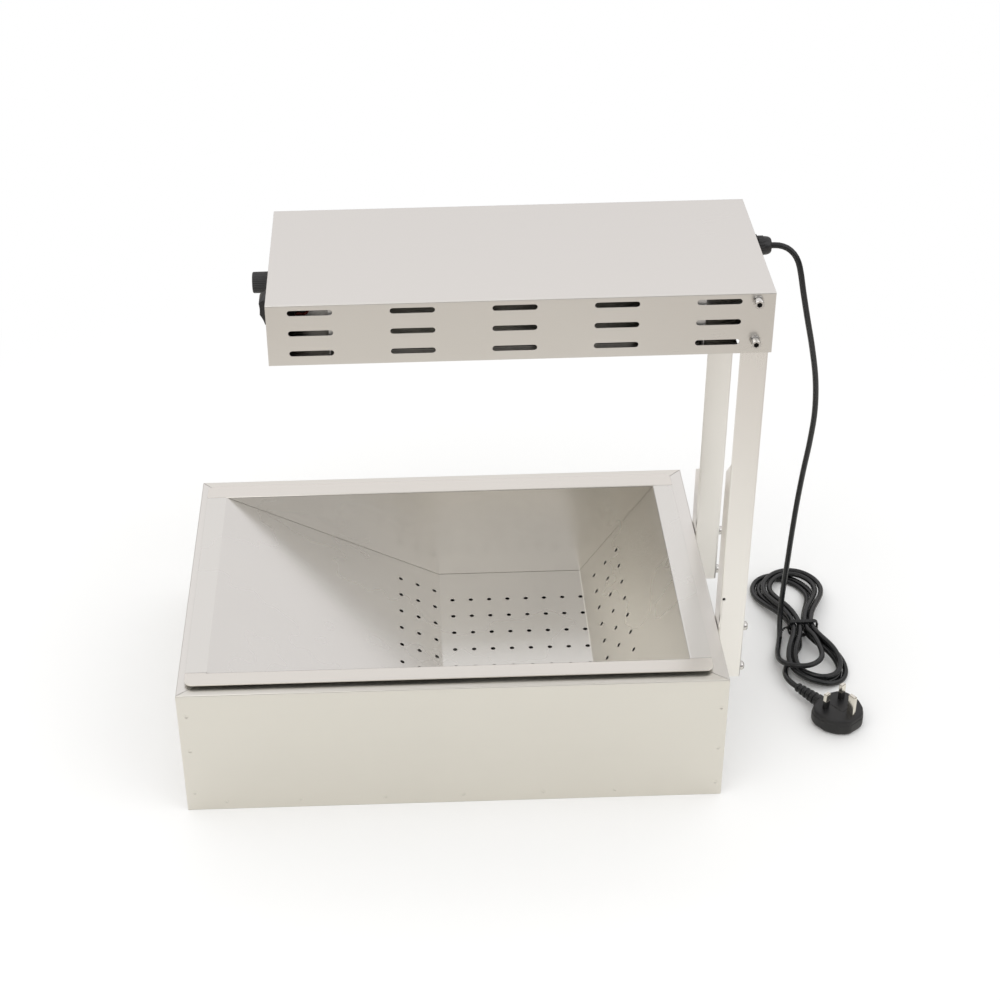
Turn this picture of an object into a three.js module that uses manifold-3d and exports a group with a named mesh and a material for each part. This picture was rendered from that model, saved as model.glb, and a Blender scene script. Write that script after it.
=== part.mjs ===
// Counter-top chip warmer in brushed stainless steel. Millimetres, +Z up, +X to the right, +Y to the rear.
// The origin is the middle of the base's footprint, on the surface that the base stands on.
import * as THREE from "three";
import { mergeVertices } from "three/addons/utils/BufferGeometryUtils.js";
import Module from "manifold-3d";

const wasm = await Module();
wasm.setup();

// Driving dimensions
const base_width = 500;
const base_depth = 350;
const base_height = 137;
const sheet = 1; // gauge of the base, pan and hood
const touch = 0.3; // gap between pieces that seat on each other
const overrun = 2; // how far a cutter runs past what it cuts

const pan_side_margin = 10; // from the pan's rim to the base's sides
const pan_end_margin = 12;
const pan_shift_x = -3; // the pan sits a little to the left of the base's middle
const pan_shift_y = -2;
const rim_side = 19.5;
const rim_front = 18;
const rim_rear = 21;
const rim_float = 3; // the rim hangs this far above the base's top
const hopper_depth = 105.5;
const left_run_share = 0.4932; // the long slope's reach along X, as a share of the hopper's width
const floor_share = 0.3401;

const post_width = 24;
const post_depth = 22.5;
const post_gauge = 1.5;
const post_overlap = 58; // how far the posts reach below the base's top

const hood_length = 426.5;
const hood_depth = 183;
const hood_height = 57;
const hood_rise = 352.5; // from the base's top to the hood's top
const hood_front = -100.5; // Y of the hood's front face
const hood_end_room = 2.2; // from the posts to the hood's right end

const cord_diameter = 5.5;

// Worked out from the driving dimensions
const half = 1 / 2;
const base_right = base_width * half;
const base_rear = base_depth * half;
const rim_top = base_height + rim_float + sheet;
const pan_width = base_width - pan_side_margin * 2;
const pan_depth = base_depth - pan_end_margin * 2;
const pan_left = pan_shift_x - pan_width * half;
const pan_right = pan_shift_x + pan_width * half;
const pan_front = pan_shift_y - pan_depth * half;
const pan_rear = pan_shift_y + pan_depth * half;
const hopper_left = pan_left + rim_side;
const hopper_right = pan_right - rim_side;
const hopper_front = pan_front + rim_front;
const hopper_rear = pan_rear - rim_rear;
const hopper_width = hopper_right - hopper_left;
const floor_top = rim_top - hopper_depth;
const left_run = hopper_width * left_run_share;
const floor_width = hopper_width * floor_share;
const floor_left = hopper_left + left_run;
const floor_right = floor_left + floor_width;
const post_foot = base_height - post_overlap;
const post_left = base_right + touch;
const post_right = post_left + post_width;
const hood_right = post_right + hood_end_room;
const hood_left = hood_right - hood_length;
const hood_rear = hood_front + hood_depth;
const hood_top = base_height + hood_rise;
const hood_bottom = hood_top - hood_height;
const inner_front = hood_front + sheet + touch; // the hood's clear inside
const inner_rear = hood_rear - sheet - touch;
const inner_top = hood_top - sheet - touch;
const front_post_y = inner_front;
const rear_post_y = inner_rear - post_depth;

// Materials
const brushed = { color: 0xcfccc6, roughness: 0.34, metalness: 1 };
const bright = { color: 0xd9d9d6, roughness: 0.18, metalness: 1 };
const black_plastic = { color: 0x1c1d1e, roughness: 0.5, metalness: 0 };
const black_rubber = { color: 0x202122, roughness: 0.6, metalness: 0 };
const porcelain = { color: 0xe8e2d4, roughness: 0.55, metalness: 0 };
const quartz = { color: 0xd8d4cc, roughness: 0.25, metalness: 0 };
const brass = { color: 0xb08d4a, roughness: 0.35, metalness: 1 };
const red_wire = { color: 0x8a3a24, roughness: 0.6, metalness: 0 };
const blue_wire = { color: 0x2c4a78, roughness: 0.6, metalness: 0 };

const warmer = new THREE.Group();
const base = new THREE.Group();
const pan = new THREE.Group();
const gantry = new THREE.Group();
const hood = new THREE.Group();
const supply = new THREE.Group();
warmer.add(base, pan, gantry, hood, supply);

function add(parent, name, geometry, finish) {
  const mesh = new THREE.Mesh(geometry, new THREE.MeshStandardMaterial(finish));
  mesh.name = name;
  parent.add(mesh);
  return mesh;
}

// Solids to cut and join, and back to geometry
const weld = 1e-4;
const hex = 6;
const round = { tiny: 6, small: 8, middle: 12, large: 16, huge: 28 }; // sides of round forms by size
function solidOf(geometry) {
  const bare = new THREE.BufferGeometry();
  const loose = geometry.index ? geometry.toNonIndexed() : geometry;
  bare.setAttribute("position", loose.getAttribute("position").clone());
  const merged = mergeVertices(bare, weld);
  const corners = merged.index.array;
  const kept = [];
  for (let i = 0; i < corners.length; i += 3) {
    const [a, b, c] = [corners[i], corners[i + 1], corners[i + 2]];
    if (a !== b && b !== c && c !== a) kept.push(a, b, c);
  }
  const vertProperties = merged.attributes.position.array;
  return new wasm.Manifold(new wasm.Mesh({ numProp: 3, vertProperties, triVerts: new Uint32Array(kept) }));
}

function geometryOf(solid) {
  const made = solid.getMesh();
  const geometry = new THREE.BufferGeometry();
  geometry.setAttribute("position", new THREE.BufferAttribute(made.vertProperties, made.numProp));
  geometry.setIndex(new THREE.BufferAttribute(made.triVerts, 1));
  const flat = geometry.toNonIndexed();
  flat.computeVertexNormals();
  return flat;
}

function cut(geometry, ...tools) {
  return geometryOf(tools.reduce((left, tool) => left.subtract(solidOf(tool)), solidOf(geometry)));
}

function join(geometry, ...others) {
  return geometryOf(others.reduce((sum, other) => sum.add(solidOf(other)), solidOf(geometry)));
}

// A block between two values on each axis
function block([x0, x1], [y0, y1], [z0, z1]) {
  const box = new THREE.BoxGeometry(x1 - x0, y1 - y0, z1 - z0);
  return box.translate((x0 + x1) * half, (y0 + y1) * half, (z0 + z1) * half);
}

// Prisms: an outline pushed along X (points are y, z), Y (points are x, z) or Z (points are x, y)
function extruded(points, from, to, toWorld, holes = []) {
  const counterclockwise = (outline) => {
    const corners = outline.map(([a, b]) => new THREE.Vector2(a, b));
    return THREE.ShapeUtils.isClockWise(corners) ? corners.reverse() : corners;
  };
  const shape = new THREE.Shape(counterclockwise(points));
  for (const hole of holes) shape.holes.push(new THREE.Path(counterclockwise(hole)));
  const prism = new THREE.ExtrudeGeometry(shape, { depth: to - from, bevelEnabled: false });
  return prism.translate(0, 0, from).applyMatrix4(toWorld);
}
const x_axis = new THREE.Vector3(1, 0, 0);
const y_axis = new THREE.Vector3(0, 1, 0);
const z_axis = new THREE.Vector3(0, 0, 1);
const along_x = new THREE.Matrix4().makeBasis(y_axis, z_axis, x_axis);
const along_y = new THREE.Matrix4().makeBasis(z_axis, x_axis, y_axis);
const along_z = new THREE.Matrix4();
const swapped = (points) => points.map(([a, b]) => [b, a]);
const prismX = (points, x0, x1, holes) => extruded(points, x0, x1, along_x, holes);
const prismY = (points, y0, y1, holes = []) =>
  extruded(swapped(points), y0, y1, along_y, holes.map(swapped));
const prismZ = (points, z0, z1, holes) => extruded(points, z0, z1, along_z, holes);

// Outlines: a regular polygon, and a slot with chamfered ends
function ring(sides, radius, [a, b], start = 0) {
  const points = [];
  for (let i = 0; i < sides; i += 1) {
    const turn = start + (2 * Math.PI * i) / sides;
    points.push([a + radius * Math.cos(turn), b + radius * Math.sin(turn)]);
  }
  return points;
}
function slot(length, width, [a, b]) {
  const [reach, rise] = [length * half, width * half];
  const end_share = 0.6;
  const in_a = reach - rise * end_share;
  const in_b = rise * (1 - end_share);
  const quarter = [[reach, in_b], [in_a, rise]];
  const around = [
    ...quarter,
    ...quarter.slice().reverse().map(([p, q]) => [-p, q]),
    ...quarter.map(([p, q]) => [-p, -q]),
    ...quarter.slice().reverse().map(([p, q]) => [p, -q]),
  ];
  return around.map(([p, q]) => [a + p, b + q]);
}
const rect = ([a0, a1], [b0, b1]) => [[a0, b0], [a1, b0], [a1, b1], [a0, b1]];

// Round bars and turned pieces; the axis runs along X, Y or Z
const turn_to = {
  x: new THREE.Matrix4().makeBasis(y_axis, x_axis, z_axis.clone().negate()),
  y: new THREE.Matrix4(),
  z: new THREE.Matrix4().makeBasis(x_axis, z_axis, y_axis.clone().negate()),
};
function bar(axis, from, to, radius, sides, [a, b]) {
  const rod = new THREE.CylinderGeometry(radius, radius, Math.abs(to - from), sides);
  rod.translate(0, (from + to) * half, 0).applyMatrix4(turn_to[axis]);
  const place = { x: [0, a, b], y: [a, 0, b], z: [a, b, 0] }[axis];
  return rod.translate(...place);
}

// A profile of radius and height, revolved; it starts and ends on the axis, low end first
function turned(axis, profile, sides, [a, b]) {
  const lathe = new THREE.LatheGeometry(profile.map(([r, h]) => new THREE.Vector2(r, h)), sides);
  lathe.applyMatrix4(turn_to[axis]);
  const place = { x: [0, a, b], y: [a, 0, b], z: [a, b, 0] }[axis];
  return geometryOf(solidOf(lathe.translate(...place)));
}

// A tube of a regular section along a curve
function tube(curve, diameter, sides, steps) {
  const section = [];
  for (let i = 0; i < sides; i += 1) {
    const turn = (2 * Math.PI * i) / sides;
    section.push(new THREE.Vector2(Math.cos(turn), Math.sin(turn)).multiplyScalar(diameter * half));
  }
  const shape = new THREE.Shape(section);
  return new THREE.ExtrudeGeometry(shape, { steps, bevelEnabled: false, extrudePath: curve });
}
function through(points) {
  return new THREE.CatmullRomCurve3(points.map((p) => new THREE.Vector3(...p)), false, "centripetal");
}

// Base: four folded panels whose tops turn in with mitred corners, and a floor tray
const lip = 12; // down-turned edge of the opening in the base's top
const tray_edge = 12; // upturned edge of the floor tray
const tab = 14; // the side panels turn in behind the front and rear panels by this much
const tab_foot = 16;
const tab_head = base_height - tab_foot + sheet;
const pan_play = 1.2; // the hopper's clearance in the opening, front and rear
const mitre_gap = 0.6;

// Where the slopes' undersides meet the opening's edges: the pan hangs there
const left_fall = hopper_depth / left_run;
const right_run = hopper_right - floor_right;
const right_fall = hopper_depth / right_run;
const under = (fall) => sheet * Math.hypot(1, fall);
const seat_height = base_height + touch;
const seat_left = hopper_left + (rim_top - under(left_fall) - seat_height) / left_fall;
const seat_right = hopper_right - (rim_top - under(right_fall) - seat_height) / right_fall;
const seat_front = hopper_front - sheet - pan_play;
const seat_rear = hopper_rear + sheet + pan_play;

const post_screw_diameter = 5;
const post_screw_play = 0.6;
const post_screw_set_back = 12; // from a post's front face to its screws
const post_screw_drop = { lower: 54, upper: 6.5 }; // below the base's top
const post_screw_heights = {
  lower: base_height - post_screw_drop.lower,
  upper: base_height - post_screw_drop.upper,
};
const post_front_y = { front: front_post_y, rear: rear_post_y };
const screwHole = (x0, x1, y, z) =>
  bar("x", x0, x1, (post_screw_diameter + post_screw_play) * half, round.small, [y, z]);
function postScrewHoles(posts, x0, x1) {
  const places = posts.flatMap((post) => Object.values(post_screw_heights).map((z) => [post, z]));
  return places.map(([post, z]) => screwHole(x0, x1, post_front_y[post] + post_screw_set_back, z));
}

// A long panel: wall, mitred top and lip; toward is +1 when its top turns toward +Y
function longPanel(face_y, seat_y, toward) {
  const wall = [face_y, face_y + toward * sheet].sort((a, b) => a - b);
  const edge = [seat_y, seat_y - toward * sheet].sort((a, b) => a - b);
  const top = [[-base_right, face_y], [base_right, face_y], [seat_right, seat_y], [seat_left, seat_y]];
  const outline = toward > 0 ? top : top.slice().reverse();
  return join(
    block([-base_right, base_right], wall, [0, base_height]),
    prismZ(outline, base_height - sheet, base_height),
    block([seat_left + touch, seat_right - touch], edge, [base_height - lip, base_height]),
  );
}
const basePanelFront = () => longPanel(-base_rear, seat_front, 1);
const basePanelRear = () => longPanel(base_rear, seat_rear, -1);

// A side panel between the long ones; side is -1 for the left one
function sidePanel(side, seat_x) {
  const face_x = side * base_right;
  const inner_x = face_x - side * sheet;
  const end_y = base_rear - sheet - touch;
  const lipped = seat_x + side * sheet;
  const walk = ([x0, x1]) => [Math.min(x0, x1), Math.max(x0, x1)];
  const mitreX = (y, seat_y, sign) => {
    const share = (sign * y - (base_rear - mitre_gap)) / (sign * seat_y - base_rear);
    return face_x + (seat_x - face_x) * share;
  };
  const top = [
    [face_x, -end_y],
    [mitreX(-end_y, seat_front, -1), -end_y],
    [seat_x, seat_front + mitre_gap],
    [seat_x, seat_rear - mitre_gap],
    [mitreX(end_y, seat_rear, 1), end_y],
    [face_x, end_y],
  ];
  const outline = side < 0 ? top : top.slice().reverse();
  const tabSpan = walk([face_x, inner_x - side * tab]);
  return join(
    block(walk([face_x, inner_x]), [-end_y, end_y], [0, base_height]),
    prismZ(outline, base_height - sheet, base_height),
    block(
      walk([seat_x, lipped]),
      [seat_front + mitre_gap, seat_rear - mitre_gap],
      [base_height - lip, base_height],
    ),
    block(tabSpan, [-end_y, -end_y + sheet], [tab_foot, tab_head]),
    block(tabSpan, [end_y - sheet, end_y], [tab_foot, tab_head]),
  );
}
const basePanelLeft = () => sidePanel(-1, seat_left);
function basePanelRight() {
  const panel = sidePanel(1, seat_right);
  return cut(panel, ...postScrewHoles(["front", "rear"], base_right - sheet * 2, base_right + overrun));
}

function baseFloorTray() {
  const [x, y] = [base_right - sheet - touch, base_rear - sheet - touch];
  const height = sheet + tray_edge;
  const tray = block([-x, x], [-y, y], [0, height]);
  return cut(tray, block([-x + sheet, x - sheet], [-y + sheet, y - sheet], [sheet, height + overrun]));
}

add(base, "base_front_panel", basePanelFront(), brushed);
add(base, "base_rear_panel", basePanelRear(), brushed);
add(base, "base_left_panel", basePanelLeft(), brushed);
add(base, "base_right_panel", basePanelRight(), brushed);
add(base, "base_floor_tray", baseFloorTray(), brushed);

// Pan: a lift-out hopper with a long slope, a short steep slope and a flat floor, all perforated low down
const rim_corner = 8;
const rim_corner_sides = 3;
const hole_diameter = 4.5;
const row_pitch = 27.7;
const row_middle = -3.5; // Y of the middle row of holes
const slope_rows = 9;
const floor_rows = 8;
const floor_columns = { first_share: 0.0867, pitch_share: 0.1273, count: 8 }; // shares of the floor's width
const left_columns = [6.1, 25.3, 44.5]; // up each slope from its lower bend
const right_columns = [20.3, 39.5, 58.7];
const pan_y = [hopper_front + touch, hopper_rear - touch];

const middleOut = (count) => Array.from({ length: count }, (_, i) => i - (count - 1) * half);
const rowsOf = (count) => middleOut(count).map((step) => row_middle + step * row_pitch);
const holeAt = (a, b) => ring(round.small, hole_diameter * half, [a, b], Math.PI / round.small);

// A slope with its rim flap: side is -1 for the left one; columns are measured up from the floor
function panSlope(side, edge_x, rim_x, run, columns) {
  const angle = Math.atan2(hopper_depth, run);
  const length = Math.hypot(hopper_depth, run);
  const across = pan_y.map((y) => -side * y).sort((a, b) => a - b);
  const holes = rowsOf(slope_rows).flatMap((y) => columns.map((up) => holeAt(length - up, -side * y)));
  const plate = prismZ(rect([0, length], across), -sheet, 0, holes);
  const down = new THREE.Vector3(-side * Math.cos(angle), 0, -Math.sin(angle));
  const sideways = new THREE.Vector3(0, -side, 0);
  const out = new THREE.Vector3().crossVectors(down, sideways);
  plate.applyMatrix4(new THREE.Matrix4().makeBasis(down, sideways, out)).translate(edge_x, 0, rim_top);
  const flap = [rim_x, edge_x].sort((a, b) => a - b);
  return join(plate, block(flap, pan_y, [rim_top - sheet, rim_top]));
}
const panLeftSlope = () => panSlope(-1, hopper_left, pan_left, left_run, left_columns);
const panRightSlope = () => panSlope(1, hopper_right, pan_right, right_run, right_columns);

function panFloorPlate() {
  const { first_share, pitch_share, count } = floor_columns;
  const shares = Array.from({ length: count }, (_, i) => first_share + i * pitch_share);
  const columns = shares.map((share) => floor_left + floor_width * share);
  const holes = rowsOf(floor_rows).flatMap((y) => columns.map((x) => holeAt(x, y)));
  const outline = rect([floor_left + touch, floor_right - touch], pan_y);
  return prismZ(outline, floor_top - sheet, floor_top, holes);
}

// An end wall of the hopper with its strip of rim; toward is +1 when the strip runs toward +Y
function panEndWall(edge_y, rim_y, toward) {
  const corner = (x, way) => {
    const points = [];
    for (let i = 0; i <= rim_corner_sides; i += 1) {
      const turn = (Math.PI * half * i) / rim_corner_sides;
      const dx = rim_corner * (1 - Math.sin(turn));
      const dy = rim_corner * (1 - Math.cos(turn));
      points.push([x + way * dx, rim_y - toward * dy]);
    }
    return points;
  };
  const strip = [
    [pan_left, edge_y],
    ...corner(pan_left, 1).reverse(),
    ...corner(pan_right, -1),
    [pan_right, edge_y],
  ];
  const outline = toward < 0 ? strip : strip.slice().reverse();
  const wall = [
    [hopper_left, rim_top],
    [hopper_left, rim_top - under(left_fall)],
    [floor_left, floor_top - under(left_fall)],
    [floor_right, floor_top - under(left_fall)],
    [hopper_right, rim_top - under(right_fall)],
    [hopper_right, rim_top],
  ];
  const span = [edge_y, edge_y + toward * sheet].sort((a, b) => a - b);
  return join(prismZ(outline, rim_top - sheet, rim_top), prismY(wall, ...span));
}
const panFrontWall = () => panEndWall(hopper_front, pan_front, -1);
const panRearWall = () => panEndWall(hopper_rear, pan_rear, 1);

add(pan, "pan_left_slope", panLeftSlope(), brushed);
add(pan, "pan_right_slope", panRightSlope(), brushed);
add(pan, "pan_floor_plate", panFloorPlate(), brushed);
add(pan, "pan_front_wall", panFrontWall(), brushed);
add(pan, "pan_rear_wall", panRearWall(), brushed);

// Posts: channels whose web faces forward, with one tall flange and one short one with a slanted top
const post_head_room = 1.2; // under the hood's top
const post_top = inner_top - post_head_room;
const short_flange_rise = { front: 181, rear: 75 }; // from the base's top to the flange's top at the web
const flange_slant = { front: 20.5, rear: 14 };
const small_hole = { across: 3, diameter: 3, rise: 34 }; // near the front post's left edge
const hood_screw_inset = { side: 12.8, upper: 7, lower: 45 }; // from the posts' right side, the hood's top
const hood_screw = {
  x: post_right - hood_screw_inset.side,
  upper: hood_top - hood_screw_inset.upper,
  lower: hood_top - hood_screw_inset.lower,
  diameter: 5,
};
const hood_hole_play = 0.8;

function post(which) {
  const y = post_front_y[which];
  const rear = y + post_depth;
  const top = base_height + short_flange_rise[which];
  const inner = y + post_gauge * half;
  const short = [[inner, post_foot], [rear, post_foot], [rear, top - flange_slant[which]], [inner, top]];
  const channel = join(
    block([post_left, post_right], [y, y + post_gauge], [post_foot, post_top]),
    block([post_right - post_gauge, post_right], [inner, rear], [post_foot, post_top]),
    prismX(short, post_left, post_left + post_gauge),
  );
  return cut(channel, ...postScrewHoles([which], post_left - overrun, post_right + overrun));
}
function frontPost() {
  const web = [front_post_y - overrun, front_post_y + post_gauge + overrun];
  const screw_hole = (hood_screw.diameter + touch) * half;
  const screw = (z) => bar("y", ...web, screw_hole, round.small, [hood_screw.x, z]);
  const hole_place = [post_left + small_hole.across, base_height + small_hole.rise];
  const hole = bar("y", ...web, small_hole.diameter * half, round.small, hole_place);
  return cut(post("front"), screw(hood_screw.upper), screw(hood_screw.lower), hole);
}

add(gantry, "front_post", frontPost(), brushed);
add(gantry, "rear_post", post("rear"), brushed);

// A strip inside the hood that ties the two posts together
const tie_plate_lift = 7.5;
const tie_plate_height = 15;
const tie_plate_z = [hood_bottom + tie_plate_lift, hood_bottom + tie_plate_lift + tie_plate_height];
const tie_tab = 17; // its rear end turns in along the rear post's web
function postTiePlate() {
  const face = post_right - post_gauge - touch;
  const end_y = rear_post_y - touch;
  return join(
    block([face - post_gauge, face], [front_post_y + post_gauge + touch, end_y], tie_plate_z),
    block([face - tie_tab, face], [end_y - post_gauge, end_y], tie_plate_z),
  );
}

// Post screws: pan head, washer and shank in one, with a nut inside the base
const head_radius = 4.4;
const head_height = 4.2;
const washer_radius = 5;
const washer_height = 1;
const nut_height = 4;
const nut_radius = 4.6;
const shank_past_nut = 1.2;

function postScrew(y, z) {
  const seat = post_right + touch;
  const shank = post_screw_diameter * half;
  const tip = base_right - sheet - touch - nut_height - shank_past_nut;
  return turned("x", [
    [0, tip],
    [shank, tip],
    [shank, seat],
    [washer_radius, seat],
    [washer_radius, seat + washer_height],
    [head_radius, seat + washer_height],
    [head_radius, seat + washer_height + head_height * half],
    [head_radius * half, seat + washer_height + head_height],
    [0, seat + washer_height + head_height],
  ], round.middle, [y, z]);
}
function postNut(y, z) {
  const seat = base_right - sheet - touch;
  const bore = (post_screw_diameter + post_screw_play) * half;
  return prismX(ring(hex, nut_radius, [y, z]), seat - nut_height, seat, [ring(round.small, bore, [y, z])]);
}
for (const which of ["front", "rear"]) {
  for (const level of ["upper", "lower"]) {
    const place = [post_front_y[which] + post_screw_set_back, post_screw_heights[level]];
    add(gantry, `${which}_post_${level}_screw`, postScrew(...place), bright);
    add(gantry, `${which}_post_${level}_nut`, postNut(...place), bright);
  }
}
add(gantry, "post_tie_plate", postTiePlate(), brushed);

// Hood: a cover folded from one sheet over two end panels, a bottom plate, a reflector and a guard
const slot_length = 37.7;
const slot_width = 5;
const slot_inset = 36.9; // from the hood's left end to the middle of the first column
const slot_first = hood_left + slot_inset;
const slot_pitch = 85.7;
const slot_columns = 5;
const slot_drops = [7.4, 26.6, 45.8]; // below the hood's top
const slot_rows = slot_drops.map((drop) => hood_top - drop);
const end_flange = 12;
const plate_lift = 0.5; // the bottom plate sits this far inside the cover's lower edge
const plate_z = hood_bottom + plate_lift;
const plate_top = plate_z + sheet;
const plate_edge = 6;
const heater_inset = { left: 54, right: 59.5, front: 20.5, rear: 20.5 }; // from the hood's faces
const heater_x = [hood_left + heater_inset.left, hood_right - heater_inset.right];
const heater_y = [hood_front + heater_inset.front, hood_rear - heater_inset.rear];
const heater_middle = (heater_y[0] + heater_y[1]) * half;
const opening_margin = 10; // the bottom plate's border under the guard
const partition_x = {
  left: [heater_x[0] - sheet * 2, heater_x[0] - sheet],
  right: [heater_x[1] + sheet, heater_x[1] + sheet * 2],
};
const cap_lift = 13.5; // from the hood's lower edge to the quartz tube's axis
const cap_z = hood_bottom + cap_lift;
const cap_radius = 8;
const wire_hole_lift = 40.5;
const wire_hole_z = hood_bottom + wire_hole_lift;
const wire_hole_y = { left: -42, right: 20 };
const wire_hole_radius = 4;

const control_lift = { knob: 24.5, rocker: 26 }; // from the hood's lower edge
const control = {
  knob_y: 6,
  knob_z: hood_bottom + control_lift.knob,
  rocker_y: -45,
  rocker_z: hood_bottom + control_lift.rocker,
};
const bushing_radius = 4.75;
const rocker_body = { length: 29, width: 22, depth: 22 };
const gland_drop = 19; // from the hood's top to the cord's axis
const gland = {
  y: 25,
  z: hood_top - gland_drop,
  thread_radius: 6,
  bore_radius: cord_diameter * half + touch,
};

function hoodCover() {
  const columns = Array.from({ length: slot_columns }, (_, i) => slot_first + i * slot_pitch);
  const through_both = [hood_front - overrun, hood_rear + overrun];
  const slots = slot_rows.flatMap((z) =>
    columns.map((x) => prismY(slot(slot_length, slot_width, [x, z]), ...through_both)));
  const front = block([hood_left, hood_right], [hood_front, hood_front + sheet], [hood_bottom, hood_top]);
  const rear = block([hood_left, hood_right], [hood_rear - sheet, hood_rear], [hood_bottom, hood_top]);
  const top = block([hood_left, hood_right], [hood_front, hood_rear], [hood_top - sheet, hood_top]);
  const screw = (z) => bar("y", hood_front - overrun, hood_front + overrun,
    (hood_screw.diameter + hood_hole_play) * half, round.small, [hood_screw.x, z]);
  return cut(join(front, rear, top), ...slots, screw(hood_screw.upper), screw(hood_screw.lower));
}

// The left end panel, with holes for the knob's bushing and the rocker switch
function hoodLeftEndPanel() {
  const [x0, x1] = [hood_left, hood_left + sheet];
  const reach = x0 + end_flange;
  const panel = join(
    block([x0, x1], [inner_front, inner_rear], [hood_bottom, inner_top]),
    block([x0, reach], [inner_front, inner_front + sheet], [plate_top + plate_edge + overrun, inner_top]),
    block([x0, reach], [inner_rear - sheet, inner_rear], [plate_top + plate_edge + overrun, inner_top]),
    block([x0, reach], [inner_front, inner_rear], [inner_top - sheet, inner_top]),
  );
  const { length, width } = rocker_body;
  const [ry, rz] = [control.rocker_y, control.rocker_z];
  const span = [x0 - overrun, x1 + overrun];
  return cut(
    panel,
    bar("x", ...span, bushing_radius + touch, round.large, [control.knob_y, control.knob_z]),
    block(span,
      [ry - width * half - touch, ry + width * half + touch],
      [rz - length * half - touch, rz + length * half + touch]),
  );
}

function hoodRightEndPanel() {
  const [x0, x1] = [hood_right - sheet, hood_right];
  const panel = join(
    block([x0, x1], [inner_front, inner_rear], [hood_bottom, inner_top]),
    block([x1 - end_flange, x1],
      [front_post_y + post_depth + overrun, rear_post_y - overrun], [inner_top - sheet, inner_top]),
  );
  const hole_radius = gland.thread_radius + touch;
  return cut(panel, bar("x", x0 - overrun, x1 + overrun, hole_radius, round.large, [gland.y, gland.z]));
}

function hoodBottomPlate() {
  const [x0, x1] = [hood_left + sheet + touch, hood_right - sheet - touch];
  const notch_z = [hood_bottom, plate_top + plate_edge * 2];
  const notch = (y0, y1) => block([post_left - touch * 2, hood_right], [y0, y1], notch_z);
  const plate = join(
    block([x0, x1], [inner_front, inner_rear], [plate_z, plate_top]),
    block([x0, x1], [inner_front, inner_front + sheet], [plate_z, plate_top + plate_edge]),
    block([x0, x1], [inner_rear - sheet, inner_rear], [plate_z, plate_top + plate_edge]),
  );
  return cut(
    plate,
    block([heater_x[0] + opening_margin, heater_x[1] - opening_margin],
      [heater_y[0] + opening_margin, heater_y[1] - opening_margin], [hood_bottom, plate_top + overrun]),
    notch(inner_front - overrun, front_post_y + post_depth + touch * 2),
    notch(rear_post_y - touch * 2, inner_rear + overrun),
  );
}

// The guard under the quartz tube: a frame with bars across
const guard_z = plate_top + touch;
const guard_gauge = 1.5;
const guard_bars = 12;
const guard_bar_width = 3;
const guard_border = 14;
function guardGrille() {
  const first = heater_x[0] + guard_border;
  const pitch = (heater_x[1] - heater_x[0] - guard_border * 2 + guard_bar_width) / guard_bars;
  const gap_y = [heater_y[0] + guard_border, heater_y[1] - guard_border];
  const gap_z = [guard_z - overrun, guard_z + guard_gauge + overrun];
  const gaps = Array.from({ length: guard_bars }, (_, i) => {
    const left = first + i * pitch;
    return block([left, left + pitch - guard_bar_width], gap_y, gap_z);
  });
  return cut(block(heater_x, heater_y, [guard_z, guard_z + guard_gauge]), ...gaps);
}

// The reflector: an upturned trough whose edges rest on the guard
const reflector_rise = 23.5; // above the hood's lower edge
const reflector_top = hood_bottom + reflector_rise;
const reflector_flange = 10;
const reflector_slope = 25;
const reflector_gauge = 1;
function reflector() {
  const low = guard_z + guard_gauge + touch;
  const half_run = (heater_y[1] - heater_y[0]) * half;
  const outer = [
    [half_run, low],
    [half_run, low + reflector_gauge],
    [half_run - reflector_flange, low + reflector_gauge],
    [half_run - reflector_flange - reflector_slope, reflector_top],
  ];
  const fold = half_run - reflector_flange - reflector_gauge * half;
  const inner = [
    [fold - reflector_slope, reflector_top - reflector_gauge],
    [fold, low],
  ];
  const mirrored = (points) => points.slice().reverse().map(([y, z]) => [-y, z]);
  const outline = [...outer, ...mirrored(outer), ...mirrored(inner), ...inner];
  return prismX(outline.map(([y, z]) => [heater_middle + y, z]), heater_x[0] - touch, heater_x[1] + touch);
}

// Partitions at the reflector's ends, with a turned-in top; they hold the tube's caps and pass a wire
const partition_flange = 10;
function partition(which, away) {
  const [x0, x1] = partition_x[which];
  const reach = away < 0 ? [x0 - partition_flange, x1] : [x0, x1 + partition_flange];
  const [y0, y1] = [inner_front + sheet + touch, inner_rear - sheet - touch];
  const plate = join(
    block([x0, x1], [y0, y1], [plate_top + touch, inner_top]),
    block(reach, [y0, y1], [inner_top - sheet, inner_top]),
  );
  const span = [x0 - overrun, x1 + overrun];
  return cut(
    plate,
    bar("x", ...span, cap_radius + touch, round.large, [heater_middle, cap_z]),
    bar("x", ...span, wire_hole_radius, round.small, [wire_hole_y[which], wire_hole_z]),
  );
}

// Quartz tube in its two ceramic caps
const cap_length = 14;
const cap_inside = 5; // how far a cap reaches inside its partition
const cap_socket = 6;
const tube_radius = 6;
const left_cap_x = [partition_x.left[1] + cap_inside - cap_length, partition_x.left[1] + cap_inside];
const right_cap_x = [partition_x.right[0] - cap_inside, partition_x.right[0] - cap_inside + cap_length];
function ceramicCap(closed, open) {
  const way = Math.sign(open - closed);
  const socket = open - way * cap_socket;
  const profile = [
    [0, closed], [cap_radius, closed], [cap_radius, open],
    [tube_radius + touch, open], [tube_radius + touch, socket], [0, socket],
  ];
  return turned("x", way > 0 ? profile : profile.slice().reverse(), round.large, [heater_middle, cap_z]);
}
const quartzTube = () => bar("x", left_cap_x[1] - cap_socket + touch, right_cap_x[0] + cap_socket - touch,
  tube_radius, round.large, [heater_middle, cap_z]);

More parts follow.
